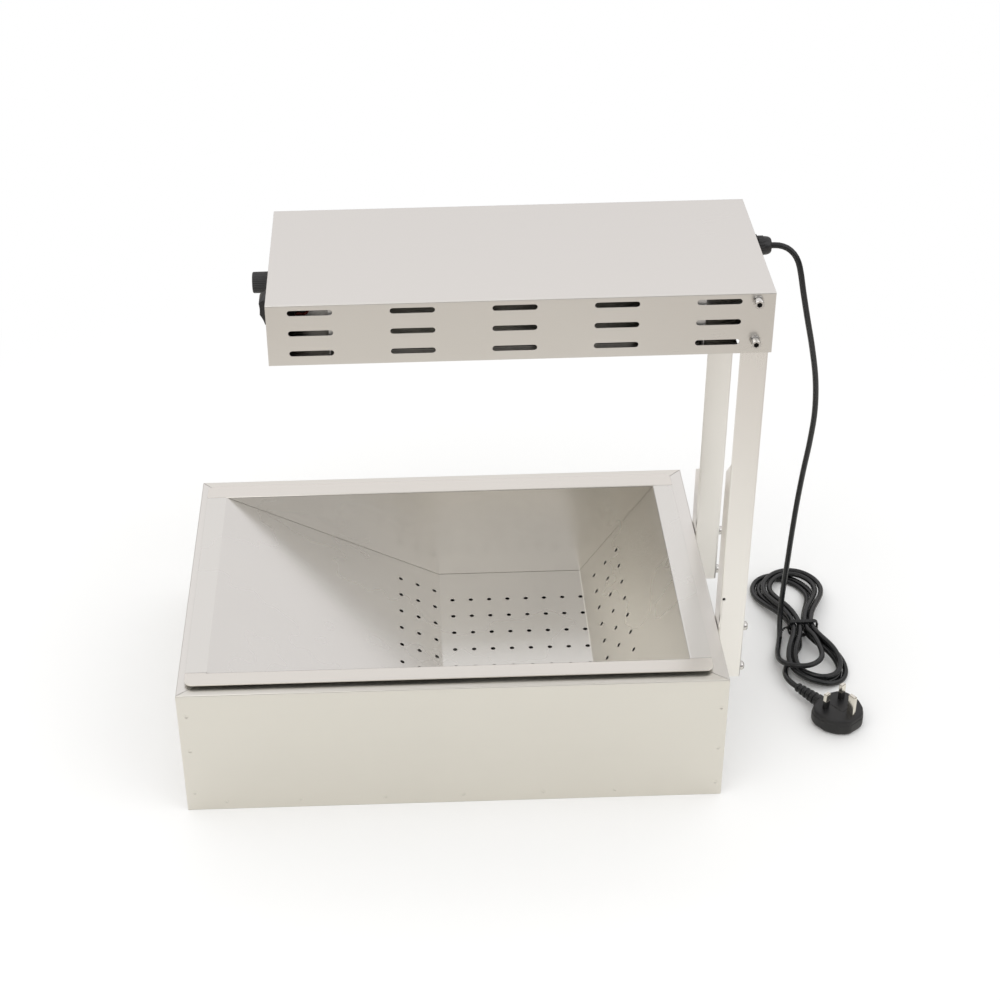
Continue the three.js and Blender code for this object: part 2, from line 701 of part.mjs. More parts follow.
add(hood, "hood_cover", hoodCover(), brushed);
add(hood, "hood_left_end_panel", hoodLeftEndPanel(), brushed);
add(hood, "hood_right_end_panel", hoodRightEndPanel(), brushed);
add(hood, "hood_bottom_plate", hoodBottomPlate(), brushed);
add(hood, "guard_grille", guardGrille(), bright);
add(hood, "reflector", reflector(), bright);
add(hood, "left_partition", partition("left", -1), brushed);
add(hood, "right_partition", partition("right", 1), brushed);
add(hood, "left_ceramic_cap", ceramicCap(left_cap_x[0], left_cap_x[1]), porcelain);
add(hood, "right_ceramic_cap", ceramicCap(right_cap_x[1], right_cap_x[0]), porcelain);
add(hood, "quartz_tube", quartzTube(), quartz);

// Hood screws: socket heads with a spring washer and a plain washer, through the cover into the front post
const cap_head = { radius: 4.25, height: 5.4, socket: 2.2, socket_depth: 2.6 };
const spring_washer = { radius: 4, height: 1.4 };
const plain_washer = { radius: 4.9, height: 1.1 };
const hood_screw_reach = 9; // behind the cover's face
function hoodScrew(z) {
  const seat = hood_front - touch;
  const [plain, spring] = [seat - plain_washer.height, seat - plain_washer.height - spring_washer.height];
  const head = spring - cap_head.height;
  const shank = hood_screw.diameter * half - touch * half;
  const body = turned("y", [
    [0, head], [cap_head.radius, head], [cap_head.radius, spring],
    [spring_washer.radius, spring], [spring_washer.radius, plain],
    [plain_washer.radius, plain], [plain_washer.radius, seat],
    [shank, seat], [shank, hood_front + hood_screw_reach], [0, hood_front + hood_screw_reach],
  ], round.large, [hood_screw.x, z]);
  const socket_y = [head - overrun, head + cap_head.socket_depth];
  return cut(body, bar("y", ...socket_y, cap_head.socket, hex, [hood_screw.x, z]));
}
add(hood, "hood_upper_screw", hoodScrew(hood_screw.upper), bright);
add(hood, "hood_lower_screw", hoodScrew(hood_screw.lower), bright);

// Heat regulator behind the left end panel, with its spindle, its nut and the knob outside
const regulator = { size: 36, depth: 28, bushing_reach: 4.6, nut_radius: 8.1, nut_height: 2.6 };
const spindle = { radius: 3, reach: 13.5, flat: 2, inside: 12 }; // flat is the distance from axis to flat
const knob = {
  radius: 9.5,
  valley: 8.95,
  ribs: 14,
  skirt_radius: 12.2,
  skirt: 2,
  reach: 17.5,
  pocket: 5.6,
  pocket_radius: 8.6,
};
const knob_place = [control.knob_y, control.knob_z];
const regulator_face = hood_left + sheet + touch;

function regulatorBody() {
  const reach = regulator.size * half;
  const [y, z] = knob_place;
  const mouth = hood_left - regulator.bushing_reach;
  const back = regulator_face + regulator.depth;
  const bore = [mouth - overrun, regulator_face + spindle.inside + touch];
  return cut(
    join(
      block([regulator_face, back], [y - reach, y + reach], [z - reach, z + reach]),
      bar("x", mouth, regulator_face + overrun, bushing_radius, round.large, knob_place),
    ),
    bar("x", ...bore, spindle.radius + touch, round.middle, knob_place),
  );
}
// The flat runs from the spindle's tip to the bushing
function spindleForm(from, to, flat_end, grow) {
  const [y, z] = knob_place;
  const side = spindle.radius * 2;
  return cut(
    bar("x", from, to, spindle.radius + grow, round.middle, knob_place),
    block([from - overrun, flat_end], [y - side, y + side], [z + spindle.flat + grow, z + side]),
  );
}
function regulatorSpindle() {
  const tip = hood_left - spindle.reach;
  const end = regulator_face + spindle.inside;
  return spindleForm(tip, end, hood_left - regulator.bushing_reach, 0);
}
function regulatorNut() {
  const seat = hood_left - touch;
  const bore = ring(round.large, bushing_radius + touch, knob_place);
  return prismX(ring(hex, regulator.nut_radius, knob_place), seat - regulator.nut_height, seat, [bore]);
}
function knobPiece() {
  const base_x = hood_left - touch;
  const tip = hood_left - knob.reach;
  const ribs = [];
  for (let i = 0; i < knob.ribs * 2; i += 1) {
    const turn = (Math.PI * i) / knob.ribs;
    const radius = i % 2 ? knob.valley : knob.radius;
    ribs.push([knob_place[0] + radius * Math.cos(turn), knob_place[1] + radius * Math.sin(turn)]);
  }
  const bore_end = hood_left - spindle.reach - touch;
  const bore = spindleForm(bore_end, base_x + overrun, hood_left - regulator.bushing_reach - touch, touch);
  return cut(
    join(
      prismX(ribs, tip, base_x),
      bar("x", base_x - knob.skirt, base_x, knob.skirt_radius, round.huge, knob_place),
    ),
    bar("x", hood_left - knob.pocket, base_x + overrun, knob.pocket_radius, round.large, knob_place),
    bore,
  );
}
add(hood, "regulator_body", regulatorBody(), black_plastic);
add(hood, "regulator_spindle", regulatorSpindle(), bright);
add(hood, "regulator_nut", regulatorNut(), bright);
add(hood, "knob", knobPiece(), black_plastic);

// Rocker switch: a body clipped through the panel, and the rocker in its pocket
const bezel = { length: 32, width: 25.5, height: 2 };
const rocker = {
  half_width: 9,
  pivot: 0.5, // its axis lies this far inside the panel's face
  ridge: 10.6,
  face: 10.3,
  end: 13.3,
  fall: 12, // degrees from the ridge to each end
  keel: 3,
  keel_end: 12.4,
  tilt: 12,
};
const rocker_pocket = { half_length: 13.7, depth: 6.5 };
const pivot_x = hood_left + rocker.pivot;
const to_radians = Math.PI / 180;

function rockerSwitchBody() {
  const [y, z] = [control.rocker_y, control.rocker_z];
  const span = (middle, size) => [middle - size * half, middle + size * half];
  const seat = hood_left - touch;
  const body_x = [seat - bezel.height * half, hood_left + rocker_body.depth];
  const pocket_x = [seat - bezel.height - overrun, pivot_x + rocker_pocket.depth];
  const pocket_y = span(y, (rocker.half_width + touch) * 2);
  return cut(
    join(
      block([seat - bezel.height, seat], span(y, bezel.width), span(z, bezel.length)),
      block(body_x, span(y, rocker_body.width), span(z, rocker_body.length)),
    ),
    block(pocket_x, pocket_y, span(z, rocker_pocket.half_length * 2)),
  );
}

// The rocker rests with its lower end pressed in
function rockerPiece() {
  const fall = Math.tan(rocker.fall * to_radians);
  const face_end = rocker.ridge - rocker.face * fall;
  const start = Math.atan2(face_end, rocker.face);
  const side = [[rocker.face, face_end]];
  const arc_steps = 4;
  for (let i = 1; i <= arc_steps; i += 1) {
    const turn = start * (1 - i / arc_steps);
    side.push([rocker.end * Math.cos(turn), rocker.end * Math.sin(turn)]);
  }
  side.push([rocker.keel_end, -rocker.keel]);
  const outline = [[0, rocker.ridge], ...side, ...side.slice().reverse().map(([s, n]) => [-s, n])];
  const tilt = rocker.tilt * to_radians;
  const placed = outline.map(([s, n]) => {
    const along = s * Math.cos(tilt) - n * Math.sin(tilt);
    const out = s * Math.sin(tilt) + n * Math.cos(tilt);
    return [pivot_x - out, control.rocker_z + along];
  });
  return prismY(placed, control.rocker_y - rocker.half_width, control.rocker_y + rocker.half_width);
}
add(hood, "rocker_switch_body", rockerSwitchBody(), black_plastic);
add(hood, "rocker", rockerPiece(), black_plastic);

// Cord gland in the right end panel
const gland_place = [gland.y, gland.z];
const gland_hex = { radius: 10.2, length: 4.9, neck: 1 };
const gland_tail = 11; // how far its thread reaches in from the panel's face
const gland_lock = { radius: 9.8, height: 4 };
const dome = { reach: 12, radius: 9, shoulder: 4.6, brow_radius: 7.8, brow: 1.6, mouth_radius: 6.4 };
const gland_seat = hood_right + touch;
const gland_face = gland_seat + gland_hex.length;
const gland_mouth = gland_face + dome.reach + touch;
function glandBody() {
  const from = hood_right - gland_tail;
  return cut(
    join(
      prismX(ring(hex, gland_hex.radius, gland_place), gland_seat, gland_face),
      bar("x", from, gland_face - gland_hex.neck, gland.thread_radius, round.large, gland_place),
    ),
    bar("x", from - overrun, gland_face + overrun, gland.bore_radius, round.middle, gland_place),
  );
}
function glandDomeNut() {
  const from = gland_face + touch;
  return turned("x", [
    [gland.bore_radius, from],
    [dome.radius, from],
    [dome.radius, from + dome.shoulder],
    [dome.brow_radius, gland_mouth - dome.brow],
    [dome.mouth_radius, gland_mouth],
    [gland.bore_radius, gland_mouth],
    [gland.bore_radius, from],
  ], round.large, gland_place);
}
function glandLocknut() {
  const seat = hood_right - sheet - touch;
  return prismX(ring(hex, gland_lock.radius, gland_place), seat - gland_lock.height, seat,
    [ring(round.large, gland.thread_radius + touch, gland_place)]);
}
add(supply, "gland_body", glandBody(), black_plastic);
add(supply, "gland_dome_nut", glandDomeNut(), black_plastic);
add(supply, "gland_locknut", glandLocknut(), black_plastic);

// Terminal block hanging from the hood's top, and the wires. Each wire leaves its ends straight for a lead.
const terminal = { length: 21.6, width: 26, height: 25.2, from_end: 18.9 };
const terminal_x = [hood_right - terminal.from_end - terminal.length, hood_right - terminal.from_end];
const terminal_y = [gland.y - terminal.width * half, gland.y + terminal.width * half];
const terminal_z = [inner_top - terminal.height, inner_top];
const terminal_middle = (terminal_x[0] + terminal_x[1]) * half;
const wire_diameter = 2.6;
const wire_lead = 8;
const wire_sag = 4;
const tag_y = 3; // the switch's two tags stand this far either side of its middle
const tag_z = 4.5;
const regulator_tag = { y: 7, z: 8 };
const element_end = { left: left_cap_x[0] - touch, right: right_cap_x[1] + touch };
const rocker_back = hood_left + rocker_body.depth + touch;
const regulator_back = regulator_face + regulator.depth + touch;
const wire_steps = { live: 26, neutral: 12, regulator: 14, element: 12 };
const wire = (points, steps) => tube(through(points), wire_diameter, round.tiny, steps);

function wireLive() {
  const at = (x, which) => [x, wire_hole_y[which], wire_hole_z];
  const tag = [rocker_back, control.rocker_y - tag_y, control.rocker_z - tag_z];
  return wire([
    at(terminal_x[0] - touch, "right"),
    at(partition_x.right[1] + wire_lead * half, "right"),
    at(partition_x.right[0] - wire_lead, "right"),
    [
      (heater_x[0] + heater_x[1]) * half,
      (wire_hole_y.left + wire_hole_y.right) * half,
      wire_hole_z - wire_sag,
    ],
    at(partition_x.left[1] + wire_lead, "left"),
    at(partition_x.left[0] - wire_lead * half, "left"),
    [rocker_back + wire_lead * 2, control.rocker_y, wire_hole_z - wire_lead],
    [tag[0] + wire_lead, tag[1], tag[2]],
    tag,
  ], wire_steps.live);
}
function wireNeutral() {
  const from = [terminal_middle, gland.y, terminal_z[0] - touch];
  return wire([
    from,
    [from[0], from[1], from[2] - wire_lead],
    [element_end.right + wire_lead * 2, heater_middle + wire_lead * 2, cap_z + wire_sag * half],
    [element_end.right + wire_lead, heater_middle, cap_z],
    [element_end.right, heater_middle, cap_z],
  ], wire_steps.neutral);
}
function wireRegulator() {
  const from = [rocker_back, control.rocker_y + tag_y, control.rocker_z + tag_z];
  const to = [regulator_back, control.knob_y - regulator_tag.y, control.knob_z + regulator_tag.z];
  return wire([
    from,
    [from[0] + wire_lead, from[1], from[2]],
    [to[0] + wire_lead * 3 * half, (from[1] + to[1]) * half, (from[2] + to[2]) * half],
    [to[0] + wire_lead, to[1], to[2]],
    to,
  ], wire_steps.regulator);
}
function wireElement() {
  const from = [regulator_back, control.knob_y + regulator_tag.y, control.knob_z - regulator_tag.z];
  return wire([
    from,
    [from[0] + wire_lead * half, from[1], from[2]],
    [(from[0] + element_end.left) * half, (from[1] + heater_middle) * half, (from[2] + cap_z) * half],
    [element_end.left - wire_lead * half, heater_middle, cap_z],
    [element_end.left, heater_middle, cap_z],
  ], wire_steps.element);
}
add(supply, "terminal_block", block(terminal_x, terminal_y, terminal_z), porcelain);
add(supply, "wire_live", wireLive(), red_wire);
add(supply, "wire_neutral", wireNeutral(), blue_wire);
add(supply, "wire_regulator", wireRegulator(), red_wire);
add(supply, "wire_element", wireElement(), blue_wire);

// Supply cord: from the terminal block through the gland, down to the table, into the hank, to the plug
const cord_sides = 10;
const cord = (points, steps) => tube(through(points), cord_diameter, cord_sides, steps);
const inlet_x = [terminal_x[1] + touch, gland_mouth];
const cordInlet = () => bar("x", ...inlet_x, cord_diameter * half, cord_sides, gland_place);
add(supply, "cord_inlet", cordInlet(), black_rubber);

// Hank: flat figure-of-eight passes drawn together at a tie. One turn is one upper and one lower loop.
// Neighbouring passes lie side by side or one layer up. The first two upper loops lean left.
const hank = {
  middle: [369, 60],
  start: -0.26,
  end: 3.26,
  reach: { upper: 98, lower: 78 },
  side: { upper: 42, lower: 37.5 },
  side_power: 4.5,
  waist: 3.2,
  pitch: 6.4,
  lean: { first: -0.17, last: 0.05 },
  lean_round: 40,
  bend: 0.18,
  bend_round: 40,
  waist_height: 10.3,
  table_height: 2.85,
  fall: { upper: [24, 84], lower: [34, 71] },
};
// The turns over which the cord moves to the outer lane and back, and climbs a layer
const hank_moves = {
  outward: [0.58, 0.75],
  inward: [2.25, 2.42],
  climb: [1.42, 1.58],
  first_climb: [-0.25, -0.13],
};
const steps_per_loop = 24;
const ramp = (value, from, to) => {
  const share = Math.min(Math.max((value - from) / (to - from), 0), 1);
  return share * share * (3 - 2 * share);
};
// The inner lane in plan
function hankPlan(turn) {
  const angle = 2 * Math.PI * turn;
  const loop = Math.cos(angle) > 0 ? "upper" : "lower";
  const along = hank.reach[loop] * Math.cos(angle);
  const swing = Math.sin(angle);
  const off = Math.abs(along);
  const swell = (hank.side[loop] - hank.waist) * (1 - Math.abs(swing) ** hank.side_power);
  const way = turn < 3 * half ? hank.lean.first : hank.lean.last;
  const lean = (way * off * off) / (off + hank.lean_round);
  const bend = (hank.bend * off * off) / (off + hank.bend_round);
  const across = swing * (hank.waist + swell) + (loop === "upper" ? lean : bend);
  return new THREE.Vector2(hank.middle[0] + across, hank.middle[1] + along);
}
const nudge = 1e-4;
class Hank extends THREE.Curve {
  getPoint(share, target = new THREE.Vector3()) {
    const turn = hank.start + (hank.end - hank.start) * share;
    const plan = hankPlan(turn);
    const way = hankPlan(turn + nudge).sub(hankPlan(turn - nudge)).normalize();
    const out = hank.pitch * (ramp(turn, ...hank_moves.outward) - ramp(turn, ...hank_moves.inward));
    const layer = ramp(turn, ...hank_moves.climb) - 1 + ramp(turn, ...hank_moves.first_climb);
    const along = plan.y - hank.middle[1];
    const range = along > 0 ? hank.fall.upper : hank.fall.lower;
    const fall = (hank.waist_height - hank.table_height) * ramp(Math.abs(along), ...range);
    const height = hank.waist_height + hank.pitch * layer - fall;
    return target.set(plan.x - way.y * out, plan.y + way.x * out, height);
  }
  getUtoTmapping(share) {
    return share; // even steps of the turn, so that the folds get the short steps
  }
}
const hank_curve = new Hank();
const loops = hank.end - hank.start;
const hank_steps = Math.round(loops * steps_per_loop);

// The hank's least gap to itself and its tightest bend, measured on its points
function hankFigures() {
  const count = 1400;
  const points = hank_curve.getPoints(count);
  const skip = 34;
  let least = Infinity;
  for (let i = 0; i < points.length; i += 1) {
    for (let j = i + skip; j < points.length; j += 1) {
      least = Math.min(least, points[i].distanceTo(points[j]));
    }
  }
  let bend = Infinity;
  const stride = 6;
  for (let i = stride; i + stride < points.length; i += 1) {
    const [a, b, c] = [points[i - stride], points[i], points[i + stride]];
    const double_area = b.clone().sub(a).cross(c.clone().sub(a)).length();
    bend = Math.min(bend, (a.distanceTo(b) * b.distanceTo(c) * c.distanceTo(a)) / (2 * double_area));
  }
  return { gap: least - cord_diameter, bend, length: hank_curve.getLength() };
}
const figures = hankFigures();
console.log(`hank: least gap ${figures.gap.toFixed(2)} mm, tightest bend ${figures.bend.toFixed(1)} mm,`,
  `length ${figures.length.toFixed(0)} mm`);
add(supply, "cord_hank", tube(hank_curve, cord_diameter, round.tiny, hank_steps), black_rubber);

// The cord's free stretches meet the hank's ends in line with them
const tail_end = hank_curve.getPoint(0);
const tail_way = hank_curve.getTangent(0);
const lead_end = hank_curve.getPoint(1);
const lead_way = hank_curve.getTangent(1);
const beyond = (point, way, length) => point.clone().addScaledVector(way, length).toArray();
const drop_points = [
  [gland_mouth + touch, gland.y, gland.z], [301.5, 24.9, 470.2], [309, 23.9, 467.8], [315.2, 22.2, 462.6],
  [319.4, 20.3, 455.2], [321.9, 18.7, 446], [325.5, 17.5, 428], [332, 20, 400], [341, 26.5, 364],
  [349.5, 35.5, 324], [354, 44, 284], [354, 51, 246], [352, 57.5, 206], [350.6, 64, 164], [350, 70, 122],
  [349.8, 75, 86], [349.5, 79, 56], [349, 79.6, 37], [348, 75.8, 21], [346.7, 67.5, 9.6],
  [344.9, 55.5, 4.4], [341.4, 41.5, 4.1], [337.9, 27, 6.2], [336.5, 12.5, 9.9], [338.1, 3.9, 12.5],
  [342.8, -3.2, 14.8], [349.8, -7.9, 16.3], [358, -9.5, 17], [366.2, -7.9, 17.3], [373.2, -3.2, 17.4],
  [377.9, 3.8, 17.4], [379.5, 12.5, 17.3], [378.7, 26, 17.2], [376.3, 40, 17],
  beyond(lead_end, lead_way, touch + cord_diameter), beyond(lead_end, lead_way, touch),
];
const relief_mouth = [347.5, -32.8, 9];
const relief_way = [-0.6074, 0.7944, 0];
const step_out = (length) => relief_mouth.map((value, i) => value + relief_way[i] * length);
const tail_points = [
  beyond(tail_end, tail_way, -touch), beyond(tail_end, tail_way, -touch - cord_diameter),
  [363.2, 40.6, 3], [358.2, 31.4, 2.85], [352.4, 22.6, 2.85], [347, 13.6, 3], [342.9, 4.4, 4.2],
  [340.1, -4.8, 6.4], [339.2, -13.6, 8.2], [340.5, -21.3, 8.9],
  step_out(touch + cord_diameter), step_out(touch),
];
const cord_steps = { drop: 52, tail: 12 };
add(supply, "cord_drop", cord(drop_points, cord_steps.drop), black_rubber);
add(supply, "cord_tail", cord(tail_points, cord_steps.tail), black_rubber);

// The tie round the hank's waist, with its twisted end
const tie_half = 4.5;
const tie_gauge = 1;
const tie_slack = 2.2; // the passes spread a little within the tie
const tie_twist = { diameter: 2.4, out: 5, reach: 10.5, along: 13, up: 1.7, down: 0.8 };
function cordTie() {
  const reach = hank.waist + hank.pitch + cord_diameter * half + tie_slack;
  const top = hank.waist_height + hank.pitch + cord_diameter * half + touch;
  const low = hank.waist_height - cord_diameter * half - touch;
  const floor = hank.waist_height - hank.pitch - cord_diameter * half - touch;
  const under_cord = hank.waist + cord_diameter * half + tie_slack;
  const inner = [
    [reach, low], [reach, top], [-reach, top], [-reach, low], [-under_cord, floor], [touch, floor],
  ];
  const outer = [
    [reach + tie_gauge, low - tie_gauge],
    [reach + tie_gauge, top + tie_gauge],
    [-reach - tie_gauge, top + tie_gauge],
    [-reach - tie_gauge, low - tie_gauge],
    [-under_cord - tie_gauge, floor - tie_gauge],
    [touch + tie_gauge, floor - tie_gauge],
  ];
  const [x, y] = hank.middle;
  const place = (points) => points.map(([a, z]) => [x + a, z]);
  const band = prismY(place(outer), y - tie_half, y + tie_half, [place(inner)]);
  const { diameter, out, reach: far, along, up, down } = tie_twist;
  const level = hank.waist_height;
  const twist = tube(through([
    [x - reach - tie_gauge * half, y, level + up],
    [x - reach - out, y, level + up],
    [x - reach - far, y - along * half, level],
    [x - reach - far, y - along, level - down],
  ]), diameter, round.tiny, round.tiny);
  return join(band, twist);
}
add(supply, "cord_tie", cordTie(), black_rubber);

// Plug on its back with the pins up. Its own frame: x toward the neutral pin, y toward the cord.
const pin_gap = 22.2;
const plug_middle = [375.4, -69.3];
const plug_place = new THREE.Matrix4().makeBasis(
  new THREE.Vector3(relief_way[1], -relief_way[0], 0),
  new THREE.Vector3(...relief_way),
  z_axis,
).setPosition(...plug_middle, 0);
const plug_height = 18;
const plug_edge = 3;
const plug_outline = [
  [-9, 14.8], [9, 14.8], [20.5, 10], [24.3, 3], [24.3, -12], [18.5, -23], [9, -30.8],
  [-9, -30.8], [-18.5, -23], [-24.3, -12], [-24.3, 3], [-20.5, 10],
];
const pin = { width: 6.4, thickness: 4, height: 17.7, sleeve: 9, taper: 0.8 };
const earth = { width: 4, thickness: 8, height: 22.7, y: -22.2 };
const pin_seat = 4; // how deep a pin sits in the plug

function plugBody() {
  const shape = new THREE.Shape(plug_outline.map(([a, b]) => new THREE.Vector2(a, b)));
  const cushion = new THREE.ExtrudeGeometry(shape, {
    depth: plug_height - plug_edge * 2,
    bevelThickness: plug_edge,
    bevelSize: plug_edge,
    bevelOffset: -plug_edge,
    bevelSegments: 2,
  });
  cushion.translate(0, 0, plug_edge);
  const socket_z = [plug_height - pin_seat - touch, plug_height + overrun];
  const socket = (width, thickness, [x, y]) => block(
    [x - width * half - touch, x + width * half + touch],
    [y - thickness * half - touch, y + thickness * half + touch],
    socket_z,
  );
  const body = cut(
    cushion,
    socket(pin.width, pin.thickness, [-pin_gap * half, 0]),
    socket(pin.width, pin.thickness, [pin_gap * half, 0]),
    socket(earth.width, earth.thickness, [0, earth.y]),
  );
  return body.applyMatrix4(plug_place);
}
function plugPin(width, thickness, height, [x, y]) {
  const [a, b] = [width * half, thickness * half];
  const tip = [a - pin.taper, b - pin.taper];
  const top = plug_height + height;
  const shank = block([x - a, x + a], [y - b, y + b], [plug_height - pin_seat, top - pin.taper * 2]);
  const point = new THREE.BoxGeometry(width, thickness, pin.taper * 2 + overrun);
  const corners = point.attributes.position;
  for (let i = 0; i < corners.count; i += 1) {
    const [side, end] = [Math.sign(corners.getX(i)), Math.sign(corners.getY(i))];
    if (corners.getZ(i) > 0) corners.setXY(i, side * tip[0], end * tip[1]);
  }
  point.translate(x, y, top - (pin.taper * 2 + overrun) * half);
  return join(shank, point).applyMatrix4(plug_place);
}

// The ribbed strain relief, from the plug's end to the cord
const relief = {
  from: 15.1,
  to: 46,
  first: 5,
  rib: 2.6,
  gap: 2.6,
  near: 6.6,
  far: 4.6,
  groove: 1.1,
  ribs: 5,
};
function plugStrainRelief() {
  const { from, to, first, rib, gap, near, far, groove, ribs } = relief;
  const profile = [[0, from], [near, from]];
  for (let i = 0; i < ribs; i += 1) {
    const radius = near + ((far - near) * i) / ribs;
    const at = from + first + i * (rib + gap);
    const low = radius - groove;
    profile.push([radius, at], [low, at + touch], [low, at + gap], [radius, at + gap + touch]);
  }
  profile.push([far, to], [0, to]);
  return turned("y", profile, round.middle, [0, plug_height * half]).applyMatrix4(plug_place);
}
add(supply, "plug_body", plugBody(), black_plastic);
add(supply, "plug_strain_relief", plugStrainRelief(), black_rubber);
add(supply, "plug_live_pin", plugPin(pin.width, pin.thickness, pin.height, [-pin_gap * half, 0]), brass);
add(supply, "plug_neutral_pin", plugPin(pin.width, pin.thickness, pin.height, [pin_gap * half, 0]), brass);
add(supply, "plug_earth_pin", plugPin(earth.width, earth.thickness, earth.height, [0, earth.y]), brass);

export default warmer;
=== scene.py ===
# %% [markdown]
# # A chip warmer in brushed stainless steel
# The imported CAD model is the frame: every piece here goes where the CAD says. Blender works in metres.
# Sizes are written in millimetres, as a maker would, and turned into metres by one factor.

# %% The frame and the helpers
from math import cos, dist, hypot, pi, radians, sin, sqrt, tan
import bpy
import bmesh
from mathutils import Matrix, Vector


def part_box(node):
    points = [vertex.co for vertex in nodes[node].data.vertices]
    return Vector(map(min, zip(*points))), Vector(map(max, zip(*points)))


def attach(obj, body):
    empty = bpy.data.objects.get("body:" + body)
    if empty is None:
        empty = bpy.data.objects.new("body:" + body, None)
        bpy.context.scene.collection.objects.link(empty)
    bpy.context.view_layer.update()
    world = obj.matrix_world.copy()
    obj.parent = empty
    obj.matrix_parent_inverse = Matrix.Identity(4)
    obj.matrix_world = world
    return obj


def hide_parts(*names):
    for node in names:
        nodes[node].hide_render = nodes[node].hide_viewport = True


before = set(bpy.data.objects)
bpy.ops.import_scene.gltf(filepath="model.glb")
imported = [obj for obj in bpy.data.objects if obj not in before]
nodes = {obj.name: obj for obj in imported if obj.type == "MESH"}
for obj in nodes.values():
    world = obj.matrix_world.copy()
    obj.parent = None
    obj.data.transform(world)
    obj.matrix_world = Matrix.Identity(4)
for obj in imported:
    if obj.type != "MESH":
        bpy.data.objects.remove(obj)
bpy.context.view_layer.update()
MM = 0.001


def metres(points):
    """Points in millimetres as vectors in metres."""
    return [Vector(p) * MM for p in points]


def link(name, data):
    """A new object in the scene."""
    made = bpy.data.objects.new(name, data)
    bpy.context.scene.collection.objects.link(made)
    return made


def formed(name, mesh):
    """A new object from a mesh under construction."""
    data = bpy.data.meshes.new(name)
    mesh.to_mesh(data)
    mesh.free()
    return link(name, data)


# %% [markdown]
# ## The camera
# The photograph looks down on the warmer from the front. The position, the three turns and the focal length
# in pixels were fitted to the corners of the base, the pan and the hood.

# %% The camera
CAMERA_AT = Vector((-31.70, -1542.83, 1257.12)) * MM
PITCH, YAW, ROLL = (radians(a) for a in (33.803, 0.968, -1.092))
FOCAL_PIXELS, PICTURE = 1956.3, 1000
CENTRE = (440, 500)
ahead = Vector((sin(YAW) * cos(PITCH), cos(YAW) * cos(PITCH), -sin(PITCH)))
level = Vector((cos(YAW), -sin(YAW), 0))
upward = level.cross(ahead)
right = level * cos(ROLL) + upward * sin(ROLL)
up = upward * cos(ROLL) - level * sin(ROLL)
lens = bpy.data.cameras.new("camera")
lens.sensor_width = 36
lens.lens = FOCAL_PIXELS * lens.sensor_width / PICTURE
lens.shift_x = (PICTURE / 2 - CENTRE[0]) / PICTURE
lens.shift_y = (CENTRE[1] - PICTURE / 2) / PICTURE
camera = link("camera", lens)
camera.matrix_world = Matrix((right, up, -ahead)).transposed().to_4x4()
camera.location = CAMERA_AT
bpy.context.scene.camera = camera
print("camera: lens %.1f mm, shift %.3f %.3f" % (lens.lens, lens.shift_x, lens.shift_y))

# %% [markdown]
# ## The supply cord
# One cord runs from the gland to the plug: it hangs to the table, turns back over itself in a long low hump,
# goes round the hank and out to the plug. A cord drawn by hand wanders through itself, so the hank comes from
# a formula: figure-of-eight passes that lie side by side or one layer up, drawn together at the tie.

# %% The hank's formula
MIDDLE, START, END, LANE, WAIST = (368.25, 60), -0.26, 3.26, 6.4, 3.2
REACH, SIDE, SIDE_POWER = (98, 78), (42, 37.5), 4.5
LEAN, LEAN_ROUND, BEND, BEND_ROUND = (-0.17, 0.05), 40, 0.18, 40
WAIST_Z, TABLE_Z, FALL = 10.3, 2.85, ((24, 84), (34, 71))
# the turns over which the cord changes its lane or its layer
OUTWARD, INWARD, CLIMB, FIRST_CLIMB = (0.58, 0.75), (2.25, 2.42), (1.42, 1.58), (-0.25, -0.13)
NUDGE = 1e-4


def ramp(value, low, high):
    """A soft step from 0 at low to 1 at high."""
    share = min(max((value - low) / (high - low), 0), 1)
    return share * share * (3 - 2 * share)


def hank_plan(turn):
    """The inner lane, seen from above."""
    angle = 2 * pi * turn
    lower = 0 if cos(angle) > 0 else 1
    along, swing = REACH[lower] * cos(angle), sin(angle)
    off = abs(along)
    swell = (SIDE[lower] - WAIST) * (1 - abs(swing) ** SIDE_POWER)
    lean = LEAN[0 if turn < 1.5 else 1] * off * off / (off + LEAN_ROUND)
    bend = BEND * off * off / (off + BEND_ROUND)
    across = swing * (WAIST + swell) + (bend if lower else lean)
    return Vector((MIDDLE[0] + across, MIDDLE[1] + along))


def hank_point(turn):
    """The cord's middle at that turn, moved to its lane and its layer."""
    plan = hank_plan(turn)
    way = (hank_plan(turn + NUDGE) - hank_plan(turn - NUDGE)).normalized()
    out = LANE * (ramp(turn, *OUTWARD) - ramp(turn, *INWARD))
    layer = ramp(turn, *CLIMB) - 1 + ramp(turn, *FIRST_CLIMB)
    along = plan.y - MIDDLE[1]
    fall = (WAIST_Z - TABLE_Z) * ramp(abs(along), *FALL[0 if along > 0 else 1])
    return Vector((plan.x - way.y * out, plan.y + way.x * out, WAIST_Z + LANE * layer - fall)) * MM


# %% The cord's route
def mix(a, b, t, low, high):
    """From a at low to b at high."""
    return a * ((high - t) / (high - low)) + b * ((t - low) / (high - low))


def smooth(points, step=0.004):
    """A centripetal Catmull-Rom line through the points, sampled about every step."""
    knots = [2 * points[0] - points[1], *points, 2 * points[-1] - points[-2]]
    line = []
    for a, b, c, d in zip(knots, knots[1:], knots[2:], knots[3:]):
        t1 = (b - a).length ** 0.5
        t2 = t1 + (c - b).length ** 0.5
        t3 = t2 + (d - c).length ** 0.5
        count = max(2, round((c - b).length / step))
        for i in range(count):
            t = t1 + (t2 - t1) * i / count
            p, q, r = mix(a, b, t, 0, t1), mix(b, c, t, t1, t2), mix(c, d, t, t2, t3)
            line.append(mix(mix(p, q, t, 0, t2), mix(q, r, t, t1, t3), t, t1, t2))
    return line + [points[-1]]


